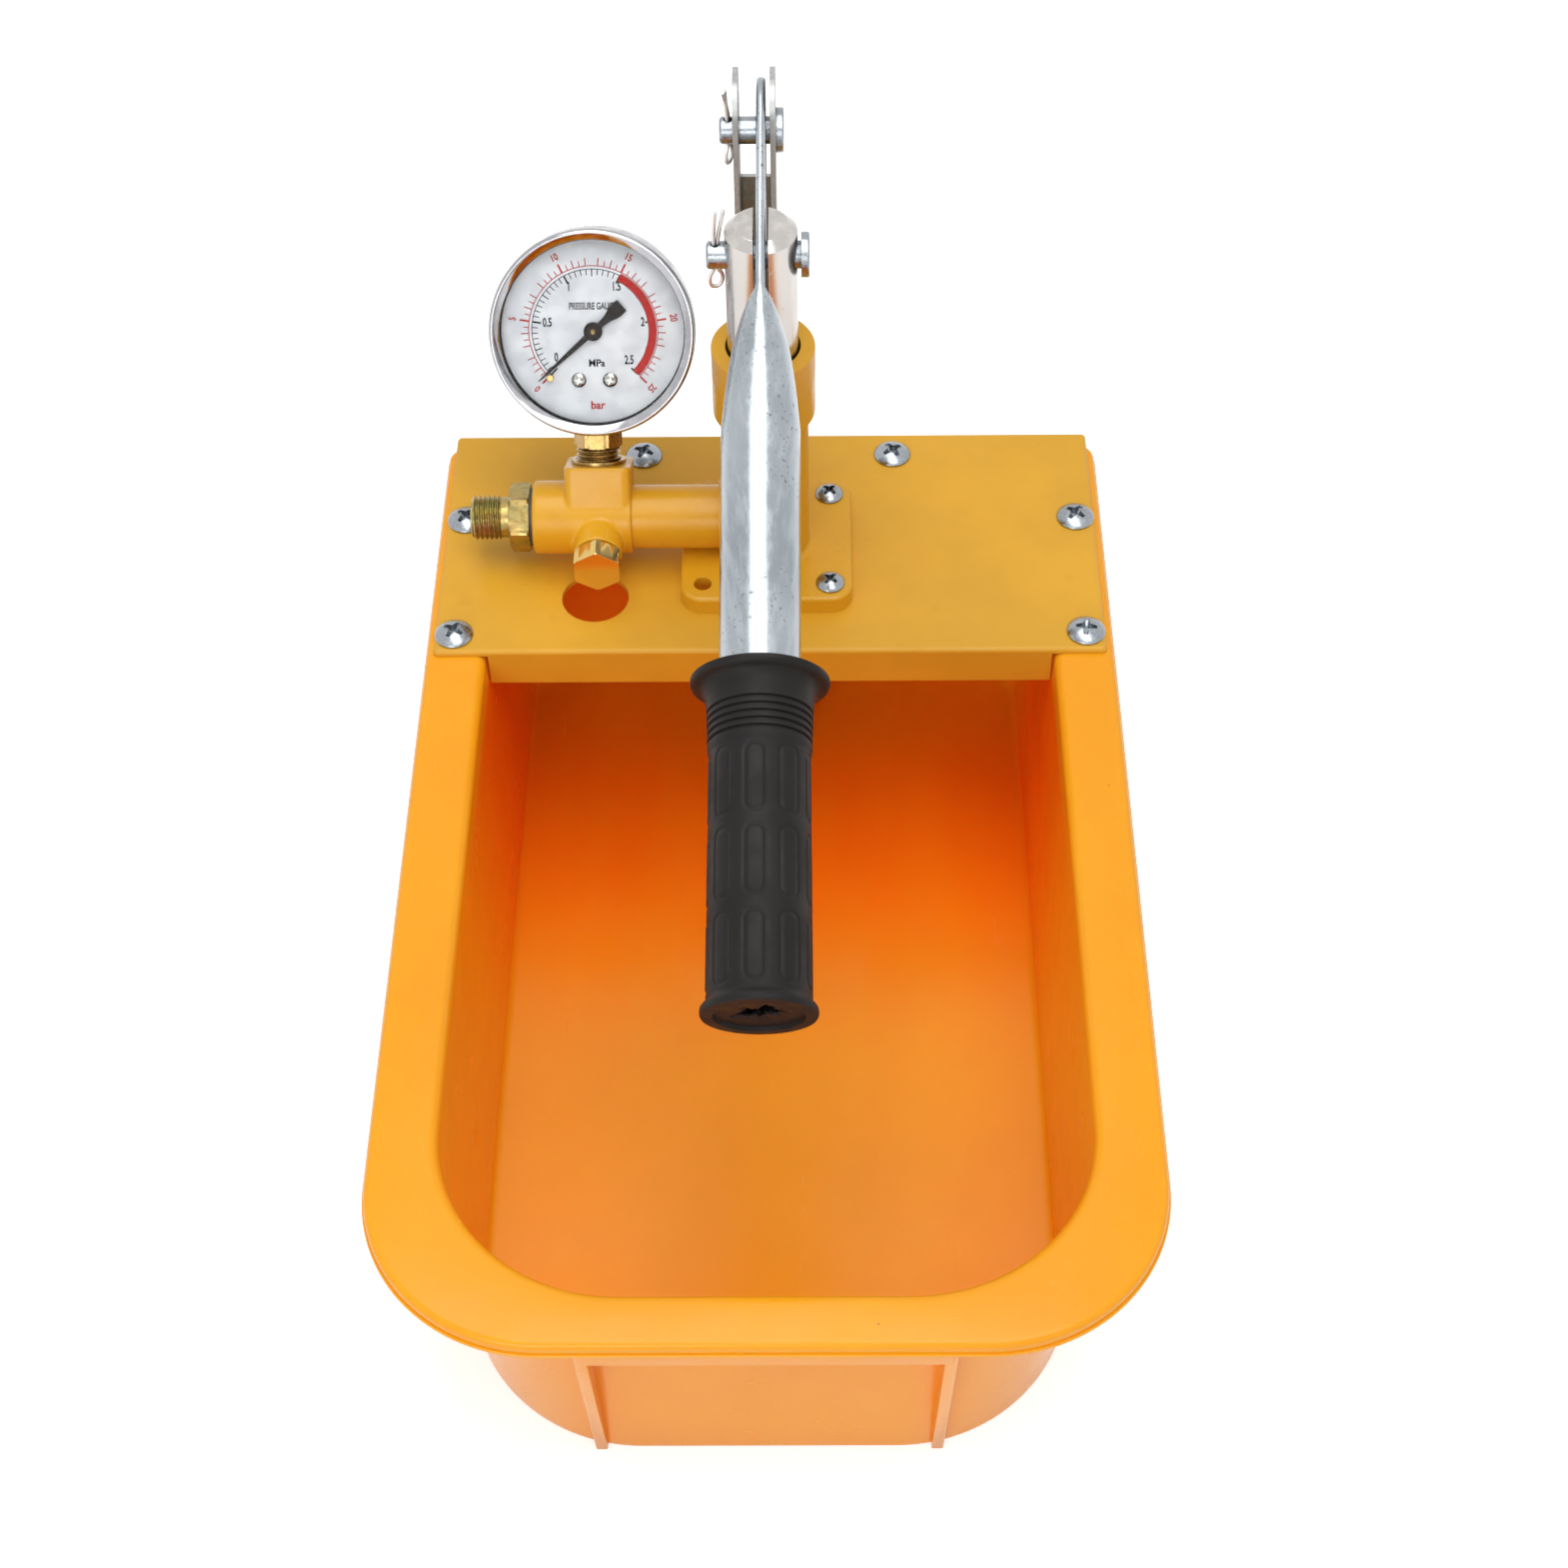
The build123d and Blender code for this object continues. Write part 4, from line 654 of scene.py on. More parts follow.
class PUMP_OT_finishes(bpy.types.Operator):
    """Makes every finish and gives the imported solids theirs"""

    bl_idname = "test_pump.finishes"
    bl_label = "Finishes"

    def execute(self, context):
        hues = context.scene.test_pump.colours
        zinc, paint = tuple(hues.zinc), tuple(hues.paint)
        lean = (-atan2(lever_along.z, -lever_along.y), 0, 0)
        make_plastic(tuple(hues.plastic))
        make_paint("deck_paint", paint, 620, 0.035, 0.40)
        make_paint("casting_paint", (paint[0], paint[1] * 0.98, paint[2] * 0.6), 330, 0.08, 0.28)
        make_metal("zinc_steel", zinc, shaded(zinc, 0.78), 0.24, mottle=260, pits=0.3)
        lever_bright, lever_dull = (0.44, 0.48, 0.51), (0.33, 0.37, 0.40)
        make_metal("lever_steel", lever_bright, lever_dull, 0.23, (1, 0.05, 1), lean, 90, 0.8, 0.03)
        turned_bright, turned_dull = (0.62, 0.59, 0.565), (0.54, 0.515, 0.49)
        make_metal("plunger_steel", turned_bright, turned_dull, 0.22, (1, 1, 0.06), mottle=60, relief=0.002)
        make_metal("wire_steel", (0.84, 0.83, 0.82), (0.74, 0.73, 0.72), 0.42, mottle=60, relief=0.002)
        link_bright, link_dull = (0.49, 0.50, 0.48), (0.40, 0.41, 0.40)
        make_metal("link_steel", link_bright, link_dull, 0.46, mottle=130, pits=0.3, relief=0.01)
        make_metal("case_steel", (0.50, 0.50, 0.52), (0.43, 0.43, 0.45), 0.20, mottle=90, relief=0.006)
        make_metal("brass", tuple(hues.brass), shaded(hues.brass, 0.68), 0.28, mottle=300, pits=0.4)
        make_metal("ball_steel", (0.70, 0.70, 0.72), (0.60, 0.60, 0.62), 0.10, mottle=80, relief=0.004)
        make_metal("chrome", (0.48, 0.48, 0.50), (0.40, 0.40, 0.42), 0.08, mottle=60, relief=0.004, rim=0.7)
        make_passivated("yellow_zinc", tuple(hues.yellow_zinc), 1.0)
        make_passivated("bright_yellow_zinc", shaded(hues.yellow_zinc, 1.75), 0.06)
        make_rubber("black_rubber", tuple(hues.rubber))
        make_plain("soft_washer", (0.09, 0.085, 0.08), 0.7)
        make_plain("dial_white", tuple(hues.dial), 0.45, 0.3, 0.004)
        make_plain("pointer_black", (0.013, 0.007, 0.006), 0.38, 0.1)
        make_plain("print_black", (0.008, 0.008, 0.010), 0.5, 0.1)
        make_plain("print_red", tuple(hues.print_red), 0.5, 0.1)
        make_plain("suction_plastic", (0.06, 0.065, 0.07), 0.45)
        make_glass()
        for name, node in frame["nodes"].items():
            wear(node, SLOTS[name])
        wear(frame["nodes"]["gauge_washer"], "brass")
        wear(frame["nodes"]["link"], "link_steel")
        return {"FINISHED"}


# The tub

# Corner radii at the front and at the back, and the points of their arcs
rim_corners, wall_corners, least_corner = (50.0, 6.0), (51.0, 12.0), 0.8
front_steps, back_steps = 30, 8


def tub_ring(half_width, front, back, corners, height):
    """One level outline of the tub, as points that go round it against the clock."""
    front_radius, back_radius = corners
    right_front, right_back = half_width - front_radius, half_width - back_radius
    places = (
        (right_front, front + front_radius, front_radius, -90, front_steps),
        (right_back, back - back_radius, back_radius, 0, back_steps),
        (-right_back, back - back_radius, back_radius, 90, back_steps),
        (-right_front, front + front_radius, front_radius, 180, front_steps),
    )
    ring = []
    for x, y, radius, start, steps in places:
        ring += [(px, py, height) for px, py in arc((x, y), radius, start, start + 90, steps)]
    return ring


class PUMP_OT_tub(bpy.types.Operator):
    """Builds the moulded tub: foot, drafted walls, rim with its lip, basin and the ribs on its front"""

    bl_idname = "test_pump.tub"
    bl_label = "Tub"

    side_rim, front_rim, wall = 19.0, 16.0, 3.0
    rim_thickness, lip_wall, lip_drop, floor_thickness = 3.0, 2.2, 5.0, 3.0
    foot_round, root, clear = 1.6, 1.2, 1.0
    lip_inner, lip_outer = 0.3, 0.25
    ledge, ledge_height, ledge_edge = 0.6, 1.2, 0.2
    wall_step, basin_step = 12.0, 10.0
    crease = 40.0

    rib_half, rib_lean, rib_wall, rib_front, rib_root = 48.5, 1.2, 3.4, 3.0, 14.5
    rib_toe, rib_heel, rib_lift, sunk = 0.6, 2.0, 0.02, 0.5
    # How far each strip between the ribs reaches past them, its front, its back and its height
    strips = (("skirt", 4.0, 0.4, 4.0, 1.4), ("apron", 0.0, 0.2, 3.4, 12.0))
    gate_outline = ((-1.4, 0.9), (-1.2, 1.4), (1.0, 1.6))
    gate_aside, gate_front, gate_up, gate_count = -6.5, 1.9, 0.6, 16

    def execute(self, context):
        sizes = context.scene.test_pump.tub
        self.low, self.high = (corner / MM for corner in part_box("tank"))
        self.under = self.high.z - self.rim_thickness
        tub = piece_from("tub", *skin(self.shell(sizes)), frame_place, self.crease)
        for part in (*self.ribs(sizes), self.gate()):
            cut(tub, part, "UNION")
        shade(tub.data, self.crease)
        stand_for(tub, "tub_plastic", "tank")
        return {"FINISHED"}

    def rim(self, inset, height):
        """An outline of the rim, so far in from its edge."""
        corners = (rim_corners[0] - inset, max(rim_corners[1] - inset, least_corner))
        return tub_ring(self.high.x - inset, self.low.y + inset, self.high.y - inset, corners, height)

    def wall_ring(self, out, corners, height):
        """An outline so far out from the basin's mouth."""
        front, back = self.low.y + self.front_rim - out, self.high.y - self.side_rim + out
        return tub_ring(self.high.x - self.side_rim + out, front, back, corners, height)

    def basin(self, out, height):
        """An outline of the basin."""
        corners = [corner + max(out, 0.0) for corner in wall_corners]
        return self.wall_ring(out, corners, height)

    def outer(self, height, inset=0.0):
        """An outline of the outer wall, which leans in towards the foot."""
        out = self.wall - (self.high.z - height) * TUB_DRAFT - inset
        return self.wall_ring(out, [corner - inset for corner in wall_corners], height)

    def shell(self, sizes):
        """The tub's outlines from the middle of its foot, over the rim, to the middle of its basin."""
        top, under, root, foot = self.high.z, self.under, self.root, self.foot_round
        edge, mouth, fillet = sizes.rim_edge / MM, sizes.mouth_edge / MM, sizes.floor_fillet / MM
        foot_arc = arc((0, 0), foot, 90, 0, 5)
        rings = [self.outer(self.low.z + foot - y, foot - x) for x, y in foot_arc]
        rings += [self.outer(z) for z in spread(foot + self.clear, under - root, self.wall_step)]
        rings += [self.outer(under - root + y, x - root) for x, y in arc((0, 0), root, 0, 90, 4)]
        lip = self.lip_wall
        rings.append(self.rim(lip + root, under))
        rings += [self.rim(lip + root - x, under - root + y) for x, y in arc((0, 0), root, 90, 0, 3)]
        bottom = top - self.lip_drop
        rings += [self.rim(lip, bottom + self.lip_inner), self.rim(lip - self.lip_inner, bottom)]
        rings += [self.rim(self.lip_outer, bottom), self.rim(0, bottom + self.lip_outer)]
        shelf = bottom + self.ledge_height
        rings += [self.rim(0, shelf - self.ledge_edge), self.rim(self.ledge_edge, shelf)]
        rings.append(self.rim(self.ledge, shelf))
        rings += [self.rim(self.ledge + edge - x, top - edge + y) for x, y in arc((0, 0), edge, 0, 90, 6)]
        start = mouth - mouth * TUB_DRAFT
        rings += [self.basin(start + x, top - mouth + y) for x, y in arc((0, 0), mouth, 90, 180, 8)]
        floor_top = self.floor_thickness + fillet
        levels = spread(top - mouth - self.clear, floor_top, self.basin_step)
        rings += [self.basin(-(top - z) * TUB_DRAFT, z) for z in levels]
        reach = -(top - floor_top) * TUB_DRAFT - fillet
        return rings + [self.basin(reach + x, floor_top + y) for x, y in arc((0, 0), fillet, 0, -90, 6)]

    def ribs(self, sizes):
        """The two upright ribs of the front wall and the strips between them."""
        front, under, roof = self.low.y, self.under, self.under + self.sunk
        foot_front = front + self.front_rim - self.wall + self.high.z * TUB_DRAFT
        profile = ((front + self.rib_front, roof), (foot_front - self.rib_toe, self.rib_lift))
        profile += ((foot_front + self.rib_heel, self.rib_lift), (front + self.rib_root, roof))
        faces = [(0, 1, 2, 3), (7, 6, 5, 4)]
        faces += [(k, (k + 1) % 4, (k + 1) % 4 + 4, k + 4) for k in range(4)]
        for side in (-1, 1):
            corners = [
                (side * (self.rib_half - self.rib_lean * (1 - z / under)) + half_wall, y, z)
                for half_wall in (-self.rib_wall / 2, self.rib_wall / 2)
                for y, z in profile
            ]
            rib = piece_from("rib", corners, faces, frame_place)
            rounded(rib, sizes.rib_edge)
            yield rib
        for name, past, near, far, tall in self.strips:
            reach, start = self.rib_half + past, front + self.rib_front
            strip = box_piece(name, (-reach, start + near, under - tall), (reach, start + far, roof))
            rounded(strip, sizes.rib_edge)
            yield strip

    def gate(self):
        """The mark of the mould's gate under the lip."""
        height = self.high.z - self.lip_drop + self.gate_up
        place = Vector((self.gate_aside, self.low.y + self.gate_front, height)) * MM
        return piece_from("gate", *skin(turned(self.gate_outline, self.gate_count)), level(*place))


# Screws

# Head diameter, head height, shank diameter and length
deck_screw, base_screw, dial_screw = (12.0, 3.0, 5.0, 8.0), (9.0, 2.6, 5.0, 12.6), (4.6, 1.1, 1.4, 2.2)


def pan_head(head, height, shank, length):
    """A pan-head screw with a cross recess, its seat at zero and its head up, in millimetres."""
    bevel, fit, tip, slack = 0.15, 0.05, 0.02, 0.1
    rise = height * 0.78
    radius = (rise * rise + head * head / 4) / (2 * rise)
    edge, half, root = head / 2, shank / 2, -length + shank * 0.2
    stations = [(-length, tip), (-length, shank * 0.32), (root, half)]
    stations += [(z, half) for z in spread(-length + shank * 0.25, -tip, 0.4)]
    stations += [(0, half + fit), (0, edge - bevel), (bevel, edge), (height - rise - slack, edge)]
    levels = spread(edge * 0.985, tip, head / 16)
    stations += [(height - radius + sqrt(radius * radius - r * r), r) for r in levels]
    thread = helix(half, shank * 0.09, shank * 0.25, root, -0.3)
    screw = piece_from("screw", *skin(turned(stations, 40, thread)), Matrix.Identity(4), 38.0)
    long, wide = head * 0.29, head * 0.075
    arm = ((long, -wide * 0.75), (long, wide * 0.75), (wide * 1.25, wide * 1.25))
    outline = [Matrix.Rotation(k * pi / 2, 2) @ Vector(p) for k in range(4) for p in arm]
    levels = ((height + 1, 1.0), (height * 0.60, 0.94), (height * 0.22, 0.50))
    rings = [[(p.x * share, p.y * share, z) for p in outline] for z, share in levels]
    cut(screw, piece_from("recess", *skin(rings), Matrix.Identity(4)))
    return screw


def sown_tree(name, output, **inputs):
    """A geometry tree with inputs of the given names and kinds and one output."""
    tree = bpy.data.node_groups.new(name, "GeometryNodeTree")
    for key, kind in inputs.items():
        tree.interface.new_socket(key.replace("_", " "), in_out="INPUT", socket_type="NodeSocket" + kind)
    tree.interface.new_socket(output, in_out="OUTPUT", socket_type="NodeSocketGeometry")
    return tree, add(tree, "NodeGroupInput").outputs


def reaped(tree, instances, finish):
    """Ends a tree: its instances are made real and given their finish."""
    real = add(tree, "GeometryNodeRealizeInstances", {0: instances}).outputs[0]
    done = add(tree, "GeometryNodeSetMaterial", {0: real, "Material": finish}).outputs[0]
    add(tree, "NodeGroupOutput", {0: done})
    return tree


def scatter_tree():
    """A node tree that sets a screw on every point, each turned by chance from its seed."""
    kinds = {"Places": "Geometry", "Screw": "Object", "Finish": "Material", "Scale": "Float", "Seed": "Int"}
    tree, given = sown_tree("Set screws", "Screws", **kinds)
    shape = add(tree, "GeometryNodeObjectInfo", {"Object": given["Screw"]}).outputs["Geometry"]
    inputs = {0: (0, 0, 0), 1: (0, 0, tau), "Seed": given["Seed"]}
    turn = add(tree, "FunctionNodeRandomValue", inputs, data_type="FLOAT_VECTOR").outputs[0]
    inputs = {"Points": given["Places"], "Instance": shape, "Rotation": turn, "Scale": given["Scale"]}
    screws = add(tree, "GeometryNodeInstanceOnPoints", inputs).outputs[0]
    return reaped(tree, screws, given["Finish"])


def growth(tree, points, **inputs):
    """The plain mesh that a node tree makes from some points."""
    seedbed = bpy.data.meshes.new("seedbed")
    seedbed.from_pydata(points, [], [])
    carrier = placed("seedbed", seedbed)
    modifier = carrier.modifiers.new("grow", "NODES")
    modifier.node_group = tree
    sockets = {item.name: item.identifier for item in tree.interface.items_tree if item.in_out == "INPUT"}
    for key, value in inputs.items():
        modifier[sockets[key.replace("_", " ")]] = value
    return baked(carrier)


class PUMP_OT_screws(bpy.types.Operator):
    """Sets the cross-recess screws in the deck, the pump's base and the dial"""

    bl_idname = "test_pump.screws"
    bl_label = "Screws"

    def execute(self, context):
        to_dial = gauge_place.inverted()
        dial_top = max((to_dial @ vert.co).z for vert in frame["nodes"]["gauge_dial"].data.vertices)
        deck = level(0, 0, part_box("deck_plate")[1].z)
        flange = level(0, 0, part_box("base_screws")[1].z - base_screw[1] * MM)
        dial = gauge_place @ Matrix.Translation((0, 0, dial_top))
        kinds = (
            ("deck_screws", deck_screw, deck, 4, "zinc_steel"),
            ("base_screws", base_screw, flange, 9, "zinc_steel"),
            ("gauge_dial_screws", dial_screw, dial, 2, "plunger_steel"),
        )
        tree = scatter_tree()
        for node, sizes, seat, seed, finish in kinds:
            to_seat = seat.inverted()
            middles = [to_seat @ ((low + high) / 2) for low, high in solids_of(node)]
            points = [(middle.x, middle.y, 0) for middle in middles]
            screw = pan_head(*sizes)
            worn = bpy.data.materials[finish]
            screws = growth(tree, points, Screw=screw, Finish=worn, Scale=1.0, Seed=seed)
            screws.transform(seat)
            bpy.data.objects.remove(screw)
            stand_for(piece_of(node.removeprefix("gauge_") + "_dressed", screws), finish, node)
        return {"FINISHED"}


# Fittings


def span_along_gauge(node):
    """The lowest and highest place of a node along the gauge's upright axis, in millimetres."""
    to_gauge = gauge_place.inverted()
    places = [(to_gauge @ vert.co).y for vert in frame["nodes"][node].data.vertices]
    return min(places), max(places)


class PUMP_OT_fittings(bpy.types.Operator):
    """Builds the threaded outlet, the release screw's head and the gauge's stem"""

    bl_idname = "test_pump.fittings"
    bl_label = "Fittings"

    hair, crease, count, thread_step = 0.02, 32.0, 144, 0.1875

    def execute(self, context):
        self.make_outlet()
        self.make_release_screw()
        self.make_gauge_stem()
        return {"FINISHED"}

    def make_outlet(self):
        washer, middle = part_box("outlet_washer"), centre("outlet_washer")
        place = standing((washer[0].x, middle.y, middle.z), (-1, 0, 0))
        nose = (washer[0].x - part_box("outlet_nipple")[0].x) / MM
        bore, neck, thread_radius, pitch, groove = 3.0, 6.3, 7.0, 1.5, 0.92
        hex_end, neck_end, hex_flats, hex_corner, hex_reach = 6.4, 9.2, 19.0, 13.0, 11.2
        stations = [(-9.9, bore), (-9.9, 6.4), (-9.3, 6.95), (-0.05, 6.95), (0.0, 7.4), (0.0, 10.2)]
        stations += [(0.55, hex_reach), (hex_end - 0.9, hex_reach), (hex_end - 0.1, 9.6), (hex_end, 9.2)]
        stations += [(hex_end, 6.5), (hex_end + 0.2, neck), (neck_end - 0.3, neck)]
        for z in spread(neck_end, neck_end + 0.8, 0.2):
            stations.append((z, thread_radius - max(0.0, 0.7 - (z - neck_end) * 1.2)))
        for z in spread(neck_end + 1.0, nose, self.thread_step):
            stations.append((z, thread_radius - max(0.0, 1.1 - (nose - z) * 1.1)))
        stations += [(nose, 3.9), (nose - 0.5, 3.35), (nose - 1.0, bore)]
        flats, thread = hexagon(hex_flats, hex_corner), helix(thread_radius, groove, pitch, neck_end, nose)

        def trim(angle, height, radius):
            return (flats if -self.hair <= height <= hex_end else thread)(angle, height, radius)

        rings = turned(stations, self.count, trim)
        nipple = piece_from("outlet_nipple_dressed", *tube(rings), place, self.crease)
        stand_for(nipple, "yellow_zinc", "outlet_nipple")

    def make_release_screw(self):
        low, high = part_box("release_screw")
        middle = (low + high) / 2
        place = standing((middle.x, high.y, middle.z), (0, -1, 0))
        pocket, pocket_radius, shank = 1.97, 2.05, 3.95
        head_height, hex_flats, hex_corner, hex_reach, count = 6.8, 14.0, 90.0, 8.2, 120
        long = (high.y - low.y) / MM
        head = long - head_height
        stations = [(pocket, self.hair), (pocket, pocket_radius), (0, pocket_radius), (0, 3.5), (0.4, shank)]
        stations += [(head - 0.05, shank), (head, 4.3), (head, 6.9), (head + 0.5, hex_reach)]
        stations += [(long - 0.35, hex_reach), (long, 7.75), (long, self.hair)]
        flats = hexagon(hex_flats, hex_corner)

        def trim(angle, height, radius):
            return flats(angle, height, radius) if height >= head else radius

        rings = turned(stations, count, trim)
        screw = piece_from("release_screw_dressed", *skin(rings), place, self.crease)
        stand_for(screw, "bright_yellow_zinc", "release_screw")

    def make_gauge_stem(self):
        foot, washer_top = span_along_gauge("gauge_socket")[0], span_along_gauge("gauge_washer")[1]
        washer_top -= foot
        hex_high, hex_height, hex_flats, hex_reach, hex_root = 18.2, 5.2, 13.0, 7.6, 6.8
        hex_low = hex_high - hex_height
        place = standing(gauge_place @ Vector((0, foot, 0)), gauge_up, -gauge_face)
        bore, neck, collar, thread_radius, pitch, groove = 1.5, 6.2, 6.9, 6.95, 1.5, 0.85
        post, post_root, post_top = 4.68, 4.75, hex_high + 12.8
        thread_end = hex_low - 0.3
        stations = [(0, bore), (0, neck), (0.6, collar), (washer_top, collar)]
        stations += [(z, thread_radius) for z in spread(washer_top + self.hair, thread_end, self.thread_step)]
        stations += [(hex_low - 0.2, neck), (hex_low, neck), (hex_low, hex_root), (hex_low + 0.5, hex_reach)]
        stations += [(hex_high - 0.5, hex_reach), (hex_high, hex_root), (hex_high, post_root)]
        stations += [(hex_high + 0.2, post), (post_top, post), (post_top, bore)]
        flats, thread = hexagon(hex_flats, 0.0), helix(thread_radius, groove, pitch, washer_top, thread_end)

        def trim(angle, height, radius):
            return (flats if hex_low <= height <= hex_high else thread)(angle, height, radius)

        stem = piece_from("gauge_stem", *tube(turned(stations, self.count, trim)), place, self.crease)
        stand_for(stem, "brass", "gauge_socket")


class PUMP_OT_castings(bpy.types.Operator):
    """Melts the edges and inner corners of the valve block, as a cast and painted piece has them"""

    bl_idname = "test_pump.castings"
    bl_label = "Castings"

    def execute(self, context):
        sizes = context.scene.test_pump.casting
        casting = placed("valve_casting", frame["nodes"]["valve_block"].data.copy())
        melt = casting.modifiers.new("melt", "REMESH")
        melt.mode = "VOXEL"
        melt.voxel_size = sizes.grain
        smooth = casting.modifiers.new("smooth", "SMOOTH")
        smooth.factor = 0.5
        smooth.iterations = sizes.smoothing
        stand_for(piece_of("valve_casting", baked(casting), 60.0), "casting_paint", "valve_block")
        return {"FINISHED"}


class PUMP_OT_split_pins(bpy.types.Operator):
    """Bends the three split pins from wire"""

    bl_idname = "test_pump.split_pins"
    bl_label = "Split pins"

    # Each split pin, the pin that it holds, its legs' tilt and its turn in degrees
    pins = (
        ("plunger_cotter", "plunger_pin", 9.0, 68.0),
        ("link_top_cotter", "link_top_pin", -14.0, 25.0),
        ("link_base_cotter", "link_base_pin", 14.0, 20.0),
    )
    wire_radius, half_gap, bent_length, from_end = 0.60, 0.55, 9.9, 2.6
    leg_heights = (15.0, 10.0, 5.3, -4.6)
    eye = ((0.75, -5.4), (2.1, -7.2), (1.9, -10.4), (0.6, -11.3))

    def execute(self, context):
        for node, pin, tilt, turn in self.pins:
            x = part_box(pin)[0].x / MM + self.from_end
            middle = centre(pin) / MM
            left, right = (self.half_pin(side, tilt) for side in (-1, 1))
            points = left + right[::-1]
            wire = bpy.data.curves.new(node + "_wire", "CURVE")
            wire.dimensions = "3D"
            wire.bevel_depth = self.wire_radius
            wire.bevel_resolution = 3
            wire.use_fill_caps = True
            line = wire.splines.new("NURBS")
            line.points.add(len(points) - 1)
            across = Vector((sin(radians(turn)), cos(radians(turn)), 0))
            for point, (y, z) in zip(line.points, points):
                point.co = (*(Vector((x, middle.y, middle.z + z)) + across * y), 1)
            line.order_u = 4
            line.use_endpoint_u = True
            line.resolution_u = 6
            mesh = baked(placed(node, wire))
            mesh.transform(frame_place)
            stand_for(piece_of(node + "_bent", mesh, 60.0), "wire_steel", node)
        return {"FINISHED"}

    def half_pin(self, side, tilt):
        """One leg and its half of the eye, as (aside, up) points from the leg's tip."""
        straight = side * self.half_gap
        tip = straight + self.bent_length * sin(radians(tilt + side * tilt / 2))
        leg = zip((tip, (straight + tip) / 2, straight, straight), self.leg_heights)
        return [*leg, *((side * aside, up) for aside, up in self.eye)]


# Lever and grip

# Shares of the flare's length, and of the way from the blade's width and height to the tube's
flare_shares = (
    (0, 0, 0),
    (0.11, 0.0, 0.05),
    (0.135, 0.03, 0.06),
    (0.16, 0.13, 0.08),
    (0.21, 0.33, 0.12),
    (0.265, 0.485, 0.17),
    (0.34, 0.59, 0.28),
    (0.44, 0.71, 0.41),
    (0.71, 0.88, 0.75),
    (1, 1, 1),
)
# Places along the lever, counted from the plunger's pin
flare_start, flare_end, grip_end = 13.0, 58.0, 228.0
lever_points = 96


def share_along(along, column):
    """A value between the rows of the flare's shares, on a smooth curve."""
    rows = flare_shares
    k = max(i for i in range(len(rows) - 1) if rows[i][0] <= min(along, 0.999))
    before, after = rows[max(k - 1, 0)], rows[min(k + 2, len(rows) - 1)]
    first, last = rows[k], rows[k + 1]
    gap = last[0] - first[0]
    t = (along - first[0]) / gap
    rise_in = (last[column] - before[column]) / max(last[0] - before[0], gap) * gap
    rise_out = (after[column] - first[column]) / max(after[0] - first[0], gap) * gap
    value = (2 * t**3 - 3 * t**2 + 1) * first[column] + (3 * t**2 - 2 * t**3) * last[column]
    return value + (t**3 - 2 * t**2 + t) * rise_in + (t**3 - t**2) * rise_out


def lever_ring(station, width, height, square, inset=0.0):
    """One section of the lever: a pressed stadium where square is 1, an ellipse where it is 0."""
    ring = []
    half_w, half_h = width / 2 - inset, height / 2 - inset
    straight = max(half_h - half_w, 0.0)
    quarter = lever_points // 4
    for k in range(lever_points):
        angle = tau * k / lever_points
        ellipse = Vector((half_w * sin(angle), half_h * cos(angle)))
        side, past_corner = divmod(k + quarter // 2, quarter)
        if side % 2:
            up = 1 if side == 3 else -1
            flat = Vector((-up * half_w, up * straight * (past_corner * 2 / quarter - 1)))
        else:
            up = 1 if side in (0, 4) else -1
            bend = pi * past_corner / quarter - pi / 2
            flat = Vector((up * half_w * sin(bend), up * (straight + half_w * cos(bend))))
        mixed = ellipse.lerp(flat, square)
        ring.append((mixed.x, mixed.y, station))
    return ring


